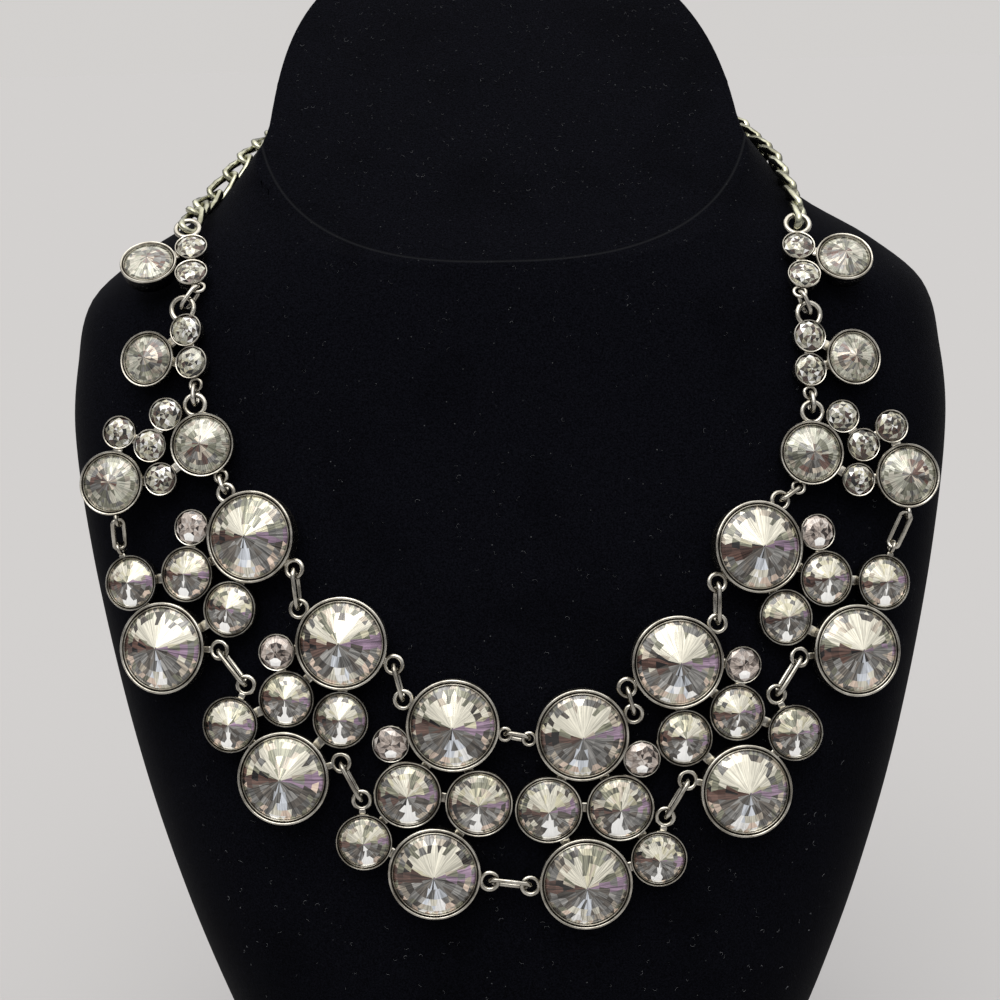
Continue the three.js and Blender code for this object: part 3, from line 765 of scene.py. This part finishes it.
def stone_light(kind, flat):
    """How one stone takes the light. Stones of the flatter plates at the shoulder take it askew."""
    sway = 120 if flat else 6
    big = kind == "big"
    return {
        "tilt": draw.uniform(-sway, sway),
        "window": draw.uniform(-60, 60),
        "window_half": draw.choice((0, draw.uniform(14, 34))),
        "tooth": draw.uniform(8, 12),
        "fall": draw.uniform(-8, 8),
        "fall_half": draw.uniform(16, 23) if big else draw.uniform(13, 20),
        "big": big,
        "flat": flat,
    }


# These tones are painted reflections: light above, shade below, and painted highlights in the fall and
# along the girdle.
def upper_tone(angle, reach, light):
    """Cream with jagged teeth towards the girdle, and olive in the window and at both ends."""
    if abs(angle - light["window"]) < light["window_half"] or abs(angle) > 70:
        return pick(0.6, 1.3, STRAW, BEIGE, OLIVE, OLIVE)
    tooth = 0.62 + 0.36 * abs((angle / light["tooth"]) % 2 - 1)
    if reach > tooth:
        return pick(0.5, 1.1, OLIVE, STEEL, SMOKE, BEIGE)
    if light["big"]:
        return scaled(CREAM, draw.uniform(0.94, 1.04))
    return pick(0.85, 1.05, CREAM, CREAM, CREAM, STRAW)


def fall_tone(reach, light):
    """The bright fall below the point: white in the smaller stones, icy near a big one's point."""
    if reach < CENTRE:
        return pick(0.6, 1.2, STEEL, DARK)
    if not light["big"]:
        return WHITE
    if reach > GIRDLE_ROW:
        return pick(0.8, 1.0, WHITE, CREAM, PEACH)
    return pick(0.8, 1.1, WHITE, CREAM, ICE) if reach > 0.5 else pick(0.6, 1.1, ICE, ICE, STEEL)


def lower_tone(angle, reach):
    """Brown and smoky sectors, lighter to the right, with warm bright facets along the girdle."""
    if reach > GIRDLE_ROW:
        return pick(0.6, 1.1, PEACH, BEIGE, STEEL, STEEL, OLIVE, SMOKE)
    if reach > 0.58 and draw.random() < 0.12:
        return pick(0.7, 1.1, BEIGE, STEEL, CREAM)
    if abs(angle) < 112:
        return pick(0.5, 1.5, BROWN, SMOKE, SMOKE) if angle < 0 else pick(0.5, 1.5, SMOKE, STEEL)
    return pick(0.6, 2.0, SMOKE, STEEL) if angle < 0 else pick(0.6, 1.8, STEEL, STEEL, SMOKE)


def side_tone(angle):
    """Where the halves meet: brown on one side, violet on the other."""
    if angle > 0:
        return pick(0.8, 1.3, VIOLET, VIOLET, VIOLET, STEEL)
    return pick(0.6, 1.3, BROWN, BROWN, BROWN, DARK)


def askew_tone(angle, reach):
    """Flatter stones: a pale greenish mosaic with a dark corner and a dark point."""
    if reach < CENTRE or (abs(angle) > 125 and reach < 0.75):
        return pick(0.7, 1.6, STEEL, SMOKE, BEIGE, BROWN)
    if abs(angle) < 30 and reach < GIRDLE_ROW:
        return pick(0.55, 0.8, CREAM, CREAM, PALE)
    return pick(0.4, 0.85, PALE, PALE, OLIVE, OLIVE, BEIGE, CREAM, STEEL, (0.36, 0.36, 0.27))


def rivoli_painted_light(angle, reach, light):
    """The painted light of a pointed stone's facet, by the part of the stone that it lies in."""
    turned = (angle - light["tilt"] + 180) % 360 - 180
    below = (angle - light["fall"]) % 360 - 180
    if light["flat"]:
        return askew_tone(turned, reach)
    if abs(turned) < UPPER_TO:
        return upper_tone(turned, reach, light)
    if abs(below) < light["fall_half"]:
        return fall_tone(reach, light)
    if abs(turned) < SIDES_TO:
        return side_tone(turned)
    return lower_tone(turned, reach)


PALE_MIX = [WHITE, PALE, CREAM, STRAW, (0.24, 0.23, 0.18), DARK, (0.09, 0.07, 0.05), BROWN]
BLUSH_MIX = [
    BLUSH, BLUSH, (0.74, 0.68, 0.63), (0.40, 0.34, 0.30), (0.20, 0.16, 0.14), (0.05, 0.04, 0.035)
]


def chaton_painted_light(angle, reach, light):
    """The painted light of a small stone's facet: a mosaic of painted reflections, with a painted white
    highlight low in the blush ones.
    """
    if not light["flat"] and abs(angle) > 148 and 0.3 < reach < 0.75:
        return WHITE
    return pick(0.5, 0.85, *(PALE_MIX if light["flat"] else BLUSH_MIX))


def paint_facets(piece, tone_of, radius, sectors, light):
    """Writes each facet's painted light and shade, how streaky it is, and its place round the point.
    Local Y is up the chest and X to the right. The triangles of one long facet share a tone. Operators
    may number the faces differently in each run, so the facets are visited by their points."""
    tones = piece.data.attributes.new("facet_painted_light", "FLOAT_COLOR", "CORNER")
    spokes = piece.data.attributes.new("spoke", "FLOAT_VECTOR", "CORNER")
    stone_number = draw.uniform(0, 500)
    known = {}
    points = piece.data.vertices
    for face in sorted(piece.data.polygons, key=lambda facet: sorted(facet.vertices)):
        corners = [points[number].co for number in sorted(face.vertices)]
        middle = sum(corners, Vector()) / len(corners) / MM
        angle = math.degrees(math.atan2(middle.x, middle.y))
        reach = middle.xy.length / radius
        bands = sum(reach > share for share, _ in CROWN_RINGS)
        sector = math.floor((angle / 360 + 0.5) * sectors) % sectors
        mosaic = reach > MOSAIC_FROM or sectors == CHATON_SIDES
        key = face.index if mosaic else (sector, bands)
        if key not in known:
            known[key] = tone_of(angle, reach, light)
        streak = 1.1 - max(known[key])
        for corner in face.loop_indices:
            tones.data[corner].color = (*known[key], streak)
            at = points[piece.data.loops[corner].vertex_index].co / MM
            turn = math.degrees(math.atan2(at.x, at.y)) - angle
            round_point = angle + (turn + 180) % 360 - 180
            spokes.data[corner].vector = (round_point * 0.4, at.xy.length / radius, stone_number)


print("facet tones ready")

# %% [markdown]
# ## Solder bridges and eyes
# The cups are soldered edge to edge, with a rough little bridge at each meeting. A cube is
# subdivided, roughened with a seeded random move and softened. The eyes are cast rings on short
# stems, and the links between plates are the same ring drawn out into an oval.

# %% Model bridge, ring and stem
def bridge_model():
    select_only()
    bpy.ops.mesh.primitive_cube_add(size=MM)
    piece = new_piece("bridge_model")
    with editing(piece):
        bpy.ops.mesh.subdivide(number_cuts=3)
        bpy.ops.transform.vertex_random(offset=0.07 * MM, seed=4)
    finish_modifier(piece, "SUBSURF", levels=1, render_levels=1)
    smooth(piece, 60)
    return piece


def ring_model(middle, wire, half=0.0, around=28, wire_sides=10):
    """A ring in the XY plane, drawn out along X by half each way."""
    select_only()
    bpy.ops.mesh.primitive_torus_add(
        major_segments=around, minor_segments=wire_sides, major_radius=middle * MM, minor_radius=wire * MM
    )
    piece = new_piece("ring_model")
    for point in piece.data.vertices:
        if abs(point.co.x) > 1e-7:
            point.co.x += math.copysign(half * MM, point.co.x)
    smooth(piece, 60)
    return piece


bridge = bridge_model()
print("bridge faces:", len(bridge.data.polygons))

# %% [markdown]
# ## Building the plates
# The list of eyes says where each ring stands and which cup carries it.

# %% Eyes
EYE_SIZES = {"plain": (1.9, 0.55), "stub": (1.35, 0.42), "loop": (2.3, 0.6), "bigLoop": (2.7, 0.65)}
EYE_UP = 2.4
STANDING_EYE_UP = 2.8
STEM_WIDTH = 1.5
STEM_HEIGHT = 1.3
STEM_BITE = 0.8
NO_STEM_UNDER = 0.3
EYES = {
    "shoulder": {"top": (-0.2, -6.6, "bigLoop", 0), "low": (0.4, 12.6, "stub", 1)},
    "second": {"top": (0.1, -5.2, "bigLoop", 0), "low": (0, 12.9, "stub", 1)},
    "third": {
        "top": (1.5, -9.3, "loop", 0),
        "lowIn": (-3.5, 7.3, "stub", 0),
        "lowOut": (20.6, 15.1, "stub", 5),
    },
    "fourth": {
        "topIn": (9.4, -7.4, "plain", 0),
        "lowIn": (-11.3, 3.9, "plain", 0),
        "topOut": (30.2, 11.9, "stub", 4),
        "lowOut": (0.3, 26.3, "plain", 5),
    },
    "fifth": {
        "topIn": (10.0, -7.3, "plain", 0),
        "lowIn": (-11.3, 4.6, "plain", 0),
        "topOut": (21.8, 9.7, "plain", 4),
        "lowOut": (0.3, 26.3, "plain", 5),
    },
    "front": {
        "topIn": (10.9, -5.3, "plain", 0),
        "topOut": (20.2, 17.0, "plain", 4),
        "midUp": (-11.3, 2.4, "stub", 0),
        "midLow": (-7.8, 35.2, "plain", 5),
    },
}
STANDING = {("third", "lowOut"), ("fourth", "topOut")}
eye_rings = {size: ring_model(*radii) for size, radii in EYE_SIZES.items()}


def eye_lift(eyes, eye):
    """How high over the plate's foot the middle of an eye lies."""
    return STANDING_EYE_UP if (eyes, eye) in STANDING else EYE_UP


def along_x(start, end, lift):
    """A frame in the plate whose X runs from start to end, at their middle."""
    run = end - start
    made = Matrix.Rotation(math.atan2(run.y, run.x), 4, "Z")
    made.translation = (start + end) / 2 + Vector((0, 0, lift))
    return made


def bar_between(start, end, width, height, lift, name):
    """The rough bridge, sized to a bar between two points of the plate."""
    size = Matrix.Diagonal(((end - start).length, width, height, 1))
    return copy_of(bridge, in_metres(along_x(start, end, lift + height / 2)) @ size, name)


def eye_parts(name, eye):
    """The cast ring, and its stem where it stands clear of its cup."""
    side, design, eyes, *_ = PLACES[name]
    out, down, size, host = EYES[eyes][eye]
    middle, _ = EYE_SIZES[size]
    at = flat_point(side, out, down)
    host_at = flat_point(side, *DESIGNS[design][host][:2])
    lift = eye_lift(eyes, eye)
    place = along_x(host_at, at, lift)
    place.translation = at + Vector((0, 0, lift))
    if (eyes, eye) in STANDING:
        place = place @ Matrix.Rotation(math.pi / 2, 4, "X")
    parts = [copy_of(eye_rings[size], in_metres(place), "eye")]
    edge = SETTINGS[DESIGNS[design][host][2]][0] / 2
    near = (at - host_at).length - middle
    if near > edge - NO_STEM_UNDER:
        unit = (at - host_at).normalized()
        start, end = host_at + unit * (edge - STEM_BITE), host_at + unit * near
        parts.append(bar_between(start, end, STEM_WIDTH, STEM_HEIGHT, lift - STEM_HEIGHT / 2, "stem"))
    return parts


print("eyes:", sum(len(EYES[place[2]]) for place in PLACES.values()))

# %% [markdown]
# Each plate's cups, bridges, stems and eyes become one piece of metal, since they are soldered.
# Its middle-sized and small stones are one piece of glass each. The largest stones are pieces of
# their own, as in the model.

# %% Build the plates
OPEN_KINDS = ("big", "large", "larger")
BRIDGE_WIDTH = 2.4
BRIDGE_HEIGHT = 2.7
BRIDGE_BITE = 0.8
BRIDGE_UP = 0.1
draw = random.Random(11)


def plate_parts(name):
    """A plate's cups, bridges, stems and eyes, in the plate's own frame."""
    side, design, eyes, *_ = PLACES[name]
    settings = DESIGNS[design]
    parts = []
    for out, down, kind in settings:
        spot = Matrix.Translation(flat_point(side, out, down) * MM)
        spun = Matrix.Rotation(draw.uniform(0, math.tau), 4, "Z")
        parts.append(copy_of(cups[kind], spot @ spun, "cup"))
    for a, b in JOINTS[design]:
        start = flat_point(side, *settings[a][:2])
        end = flat_point(side, *settings[b][:2])
        unit = (end - start).normalized()
        start = start + unit * (SETTINGS[settings[a][2]][0] / 2 - BRIDGE_BITE)
        end = end - unit * (SETTINGS[settings[b][2]][0] / 2 - BRIDGE_BITE)
        parts.append(bar_between(start, end, BRIDGE_WIDTH, BRIDGE_HEIGHT, BRIDGE_UP, "bridge"))
    for eye in EYES[eyes]:
        parts += eye_parts(name, eye)
    return parts


def build_plate(name):
    piece = joined("plate_" + name, plate_parts(name))
    piece.data.transform(in_metres(frames[name]))
    dress(piece, plate_metal, "silver_tone_metal", "casting_" + name)
    return piece


plates = {name: build_plate(name) for name in PLACES}
print("plates:", {name: len(piece.data.polygons) for name, piece in plates.items()})

# %% [markdown]
# ## Setting the stones
# Each stone is a copy of its model, painted with its own light and shade and dropped into its cup.

# %% Set the stones
STONE_SWAY = 4.0
FLATTER = ("shoulder", "second", "third")


def stone_place(name, setting):
    """A stone's frame in the plate, turned back so that its local Y points up the chest."""
    side, *_, turn, _ = PLACES[name]
    back = Matrix.Rotation(math.radians(-side * turn + draw.uniform(-STONE_SWAY, STONE_SWAY)), 4, "Z")
    return Matrix.Translation(flat_point(side, *setting[:2]) * MM) @ back


def set_stone(name, setting, model, tone_of, stone_name):
    """One stone, toned and in its place."""
    kind = setting[2]
    piece = copy_of(model, Matrix.Identity(4), stone_name)
    radius = SETTINGS[kind][0] / 2 - SETTINGS[kind][2]
    sectors = RIVOLI_SECTORS.get(kind, CHATON_SIDES)
    paint_facets(piece, tone_of, radius, sectors, stone_light(kind, PLACES[name][1] in FLATTER))
    piece.data.transform(in_metres(frames[name]) @ stone_place(name, setting))
    return piece


for name, (side, design, *_) in PLACES.items():
    own = [s for s in DESIGNS[design] if s[2] in OPEN_KINDS]
    for number, setting in enumerate(own):
        ending = "" if len(own) == 1 else ("_inner", "_outer")[number]
        label = name + ending
        stone = set_stone(name, setting, rivolis[setting[2]], rivoli_painted_light, "rivoli_" + label)
        dress(stone, pointed_glass, "foiled_stone", "stone_" + label)
    middle = [s for s in DESIGNS[design] if s[2] in ("wide", "medium")]
    if middle:
        parts = [set_stone(name, s, rivolis[s[2]], rivoli_painted_light, "part") for s in middle]
        dress(joined("middle_rivolis_" + name, parts), pointed_glass, "foiled_stone")
    small = [s for s in DESIGNS[design] if s[2] in SMALL_KINDS]
    parts = [set_stone(name, s, chatons[s[2]], chaton_painted_light, "part") for s in small]
    dress(joined("chatons_" + name, parts), small_glass, "foiled_stone")
print("stones:", sum(len(DESIGNS[design]) for _, design, *_ in PLACES.values()))

# %% [markdown]
# ## Links between the plates
# Each link is drawn to the length between its two eyes and rolled on edge, as the real ones
# hang: from the front they show as short bright bars.

# %% Links
LINK_WIRE = 0.52
LINK_MIDDLE = 1.75
OUTER_NARROWER = 0.45
LINKS = [("front_upper", "left_6", "midUp", "right_6", "midUp", 60)]
LINKS += [("front_lower", "left_6", "midLow", "right_6", "midLow", 60)]
for side_name in ("left", "right"):
    for upper, lower, ending, eye_a, eye_b, roll in (
        (1, 2, "", "low", "top", 90),
        (2, 3, "", "low", "top", 90),
        (3, 4, "_inner", "lowIn", "topIn", 90),
        (3, 4, "_outer", "lowOut", "topOut", -40 if side_name == "left" else 40),
        (4, 5, "_inner", "lowIn", "topIn", 90),
        (4, 5, "_outer", "lowOut", "topOut", 90),
        (5, 6, "_inner", "lowIn", "topIn", 90),
        (5, 6, "_outer", "lowOut", "topOut", 90),
    ):
        label = f"{side_name}_{upper}_{lower}{ending}"
        LINKS.append((label, f"{side_name}_{upper}", eye_a, f"{side_name}_{lower}", eye_b, roll))


def hook_of(name, eye):
    """The middle of an eye and the plate's outward direction there."""
    side, _, eyes, *_ = PLACES[name]
    at = flat_point(side, *EYES[eyes][eye][:2]) + Vector((0, 0, eye_lift(eyes, eye)))
    return frames[name] @ at, frames[name].to_3x3() @ Vector((0, 0, 1))


def between(start, end, outward, roll):
    """A frame with X from start to end and Z outward, rolled about X."""
    along = (end - start).normalized()
    facing = (outward - along * outward.dot(along)).normalized()
    across = facing.cross(along)
    made = Matrix((along, across, facing)).transposed().to_4x4()
    made.translation = (start + end) / 2
    return made @ Matrix.Rotation(math.radians(roll), 4, "X")


for label, from_plate, from_eye, to_plate, to_eye, roll in LINKS:
    (start, out_a), (end, out_b) = hook_of(from_plate, from_eye), hook_of(to_plate, to_eye)
    half = max((end - start).length / 2 - LINK_MIDDLE, 0)
    narrower = OUTER_NARROWER if label.endswith("3_4_outer") else 0.0
    link = ring_model(LINK_MIDDLE - narrower, LINK_WIRE, half + narrower)
    named(link, "oval_link_" + label)
    link.data.transform(in_metres(between(start, end, (out_a + out_b).normalized(), roll)))
    dress(link, plate_metal, "silver_tone_metal", "link_" + label)
print("links:", len(LINKS))

# %% [markdown]
# ## Curb chain
# A curb chain is made of oval links, each twisted a quarter turn so that the next one nests in
# it. One link is drawn from a torus and twisted with a Simple Deform modifier, then copied along
# the route. The route takes the same chosen points as the model. On the left the chain hangs on
# its edge, so its links show wide, and on the right it lies flat against the neck.

# %% Chain
CHAIN_WIRE = 0.92
CHAIN_MIDDLE = 1.95
CHAIN_PITCH = 7.0
CHAIN_TWIST = -85.0
CHAIN_ROLLS = {"left": 75.0, "right": 0.0}
CHAIN_SINK = 1.4
SINK_REACH = 25.0
RADIAL_RISE = 12.0
ROUTES = {
    "left": [
        (-73.7, -17, 233.4), (-73.9, -9, 234), (-71.5, -4.5, 236.5), (-68.7, -0.5, 240.2),
        (-66.1, 3.5, 243.2), (-63.4, 8, 245.7), (-60.8, 12.5, 247.8),
    ],
    "right": [
        (68.6, -22, 232), (68, -17, 235.3), (67.5, -11, 238.2), (67, -4, 241.4),
        (65.4, 3, 243.8), (63, 9, 245.9), (61.2, 13, 248),
    ],
}
ROUTE_BEHIND = [(54.4, 24.8, 250.6), (37.6, 42, 251.3), (16, 49.8, 250.5)]
CLASP_PLACE = Vector((0, 51, 250))
CLASP_MIDDLE = 3.2
CLASP_WIRE = 0.8
STEPS = 24

link_half = CHAIN_PITCH / 2 + CHAIN_WIRE - CHAIN_MIDDLE
chain_link = ring_model(CHAIN_MIDDLE, CHAIN_WIRE, link_half, around=20, wire_sides=7)
finish_modifier(
    chain_link, "SIMPLE_DEFORM", deform_method="TWIST", deform_axis="X", angle=math.radians(CHAIN_TWIST)
)
smooth(chain_link, 60)


def smooth_route(points):
    """Many points on a Catmull-Rom curve through these points."""
    ends = [points[0] * 2 - points[1], *points, points[-1] * 2 - points[-2]]
    made = []
    for a, b, c, d in zip(ends, ends[1:], ends[2:], ends[3:]):
        for k in range(STEPS):
            t = k / STEPS
            bend = (2 * a - 5 * b + 4 * c - d) * t * t + (3 * b - a - 3 * c + d) * t**3
            made.append((2 * b + (c - a) * t + bend) / 2)
    return [*made, points[-1]]


def spaced(points, pitch):
    """Points at equal steps of about this pitch along a fine path."""
    lengths = [0.0]
    for a, b in zip(points, points[1:]):
        lengths.append(lengths[-1] + (b - a).length)
    count = round(lengths[-1] / pitch)
    made, i = [], 0
    for k in range(count + 1):
        want = lengths[-1] * k / count
        while i < len(lengths) - 2 and lengths[i + 1] < want:
            i += 1
        share = (want - lengths[i]) / (lengths[i + 1] - lengths[i])
        made.append(points[i].lerp(points[i + 1], share))
    return made


def off_neck(point):
    """The direction in which the neck's surface faces near a point of the route."""
    return Vector((point.x, point.y - neck_middle.y, RADIAL_RISE)).normalized()


def seated(point):
    """The velvet gives under the chain, most at the neck's side."""
    return point - off_neck(point) * CHAIN_SINK * max(1 - abs(point.y) / SINK_REACH, 0)


for side, side_name in ((-1, "left"), (1, "right")):
    start, _ = hook_of(side_name + "_1", "top")
    chosen = [Vector(point) for point in ROUTES[side_name]]
    chosen += [Vector((side * across, back, up)) for across, back, up in ROUTE_BEHIND]
    end = CLASP_PLACE + Vector((side * (CLASP_MIDDLE - CLASP_WIRE - GAP - CHAIN_WIRE), 0, 0))
    hooks = [seated(point) for point in spaced(smooth_route([start, *chosen, end]), CHAIN_PITCH)]
    parts = []
    for a, b in zip(hooks, hooks[1:]):
        place = in_metres(between(a, b, off_neck(a), CHAIN_ROLLS[side_name]))
        parts.append(copy_of(chain_link, place, "link"))
    chain = joined("curb_chain_" + side_name, parts)
    dress(chain, chain_metal, "silver_tone_metal", "chain_" + side_name)
    length = sum((b - a).length for a, b in zip(hooks, hooks[1:]))
    print(side_name, "chain:", round(length), "mm,", len(parts), "links")

clasp = named(ring_model(CLASP_MIDDLE, CLASP_WIRE), "clasp_ring")
flat_to_back = Matrix.Rotation(math.pi / 2, 4, "X")
clasp.data.transform(Matrix.Translation(CLASP_PLACE * MM) @ flat_to_back)
dress(clasp, chain_metal, "silver_tone_metal", "clasp")

# %% [markdown]
# ## Lint
# The velvet has picked up a few short hairs. One is drawn as a thin ring cut to an arc and bent,
# and its copies are strewn over the chest and the neck's top, more thickly on the top.

# %% Lint hairs
HAIR_BEND = 1.0
HAIR_WIRE = 0.05
HAIR_OFF = 0.15
HAIR_LENGTHS = (0.12, 0.55)
HAIR_WIDTHS = (0.06, 0.4)
HAIRS_ON_CHEST = 520
HAIRS_ON_TOP = 200
CHEST_LEVELS = (30, 226)

select_only()
bpy.ops.mesh.primitive_torus_add(
    major_segments=14, minor_segments=3, major_radius=HAIR_BEND * MM, minor_radius=HAIR_WIRE * MM
)
hair = new_piece("hair_model")
with editing(hair):
    bpy.ops.mesh.bisect(plane_co=(0, -0.3 * MM, 0), plane_no=(0, -1, 0), use_fill=True, clear_outer=True)


def strewn(origin, normal, name):
    """A hair lying on a surface, turned and sized by the draw."""
    turn = normal.to_track_quat("Z", "Y").to_matrix().to_4x4()
    turn.translation = (origin + normal * HAIR_OFF) * MM
    spin = Matrix.Rotation(draw.uniform(0, math.tau), 4, "Z")
    size = Matrix.Diagonal((draw.uniform(*HAIR_LENGTHS), draw.uniform(*HAIR_WIDTHS), 1, 1))
    return copy_of(hair, turn @ spin @ size, name)


hairs = []
while len(hairs) < HAIRS_ON_CHEST:
    up = draw.uniform(*CHEST_LEVELS)
    across = draw.uniform(-0.8, 0.8) * bust_value("half_width", up)
    origin = Vector((across, front_at(across, up), up))
    rest = resting_frame(across, up, 1)
    hairs.append(strewn(origin, rest.to_3x3() @ Vector((0, 0, 1)), "hair"))
while len(hairs) < HAIRS_ON_CHEST + HAIRS_ON_TOP:
    share = draw.uniform(0.08, 0.85)
    half_width = bust_value("half_width", 260) * math.sqrt(1 - (2 * share - 1) ** 2)
    origin = NECK_FRONT.lerp(NECK_BACK, share) + Vector((draw.uniform(-0.92, 0.92) * half_width, 0, 0))
    hairs.append(strewn(origin, neck_up, "hair"))
lint_finish = Finish("lint")
lint_finish.set(Base_Color=(0.13, 0.135, 0.145, 1), Roughness=0.9, Specular_IOR_Level=0.1)
dress(joined("lint_hairs", hairs), lint_finish, "velvet")
print("hairs:", len(hairs))

# %% [markdown]
# ## Clearing the models away
# The cups, stones and rings that were copied have done their work and leave the scene.

# %% Remove the models
models = [bridge, chain_link, hair]
for family in (cups, rivolis, chatons, eye_rings):
    models += family.values()
for model in models:
    bpy.data.meshes.remove(model.data)
print("removed", len(models), "models")

# %% [markdown]
# ## Floor and light
# A plain pale table runs into a background of the same grey, so no edge shows behind the bust. The room
# is bright above, grey at the sides and dim in front, which gives the metal its contrast, and a
# very soft sun from above and in front lights everything evenly.

# %% Floor and light
BACKGROUND = (0.650, 0.634, 0.621, 1)
ROOM = [
    (0.0, (0.16, 0.16, 0.16)),
    (0.55, (0.2, 0.2, 0.21)),
    (0.7, (0.6, 0.6, 0.61)),
    (0.92, (1.8, 1.77, 1.72)),
]
FLOOR_SIDE = 400.0
SUN_ENERGY = 1.5
SUN_ANGLE = 50.0
SUN_DOWN = 58.0
SUN_ASIDE = -18.0

select_only()
bpy.ops.mesh.primitive_plane_add(size=FLOOR_SIDE)
floor = new_piece("floor")
floor_finish = Finish("pale_table")
floor_finish.set(Base_Color=(0.204, 0.201, 0.197, 1), Roughness=1.0, Specular_IOR_Level=0.0)
floor_finish.set(Emission_Color=(1.0, 0.977, 0.988, 1), Emission_Strength=0.307)
floor.data.materials.append(floor_finish.material)

sun = bpy.data.lights.new("soft_sun", "SUN")
sun.energy = SUN_ENERGY
sun.angle = math.radians(SUN_ANGLE)
sun.color = (1.0, 0.985, 0.96)
sun_stand = bpy.data.objects.new("soft_sun", sun)
sun_stand.rotation_euler = (math.radians(90 - SUN_DOWN), 0, math.radians(SUN_ASIDE))
bpy.context.scene.collection.objects.link(sun_stand)

world = bpy.data.worlds.new("room")
world.use_nodes = True
room = Nodes(world.node_tree)
direction = room.node("ShaderNodeTexCoord").outputs["Generated"]
upward = room.node("ShaderNodeSeparateXYZ", Vector=direction).outputs["Z"]
room_colour = room.ramp(room.levels(upward, -1.0, 1.0, 0.0, 1.0), ROOM)
seen = room.node("ShaderNodeLightPath").outputs["Is Camera Ray"]
backdrop = room.blend(seen, room_colour, BACKGROUND)
room.tree.links.new(backdrop, room.tree.nodes["Background"].inputs["Color"])
bpy.context.scene.world = world
bpy.context.scene.view_settings.view_transform = "Standard"
print("light:", sun.energy, "at", SUN_DOWN, "degrees down")
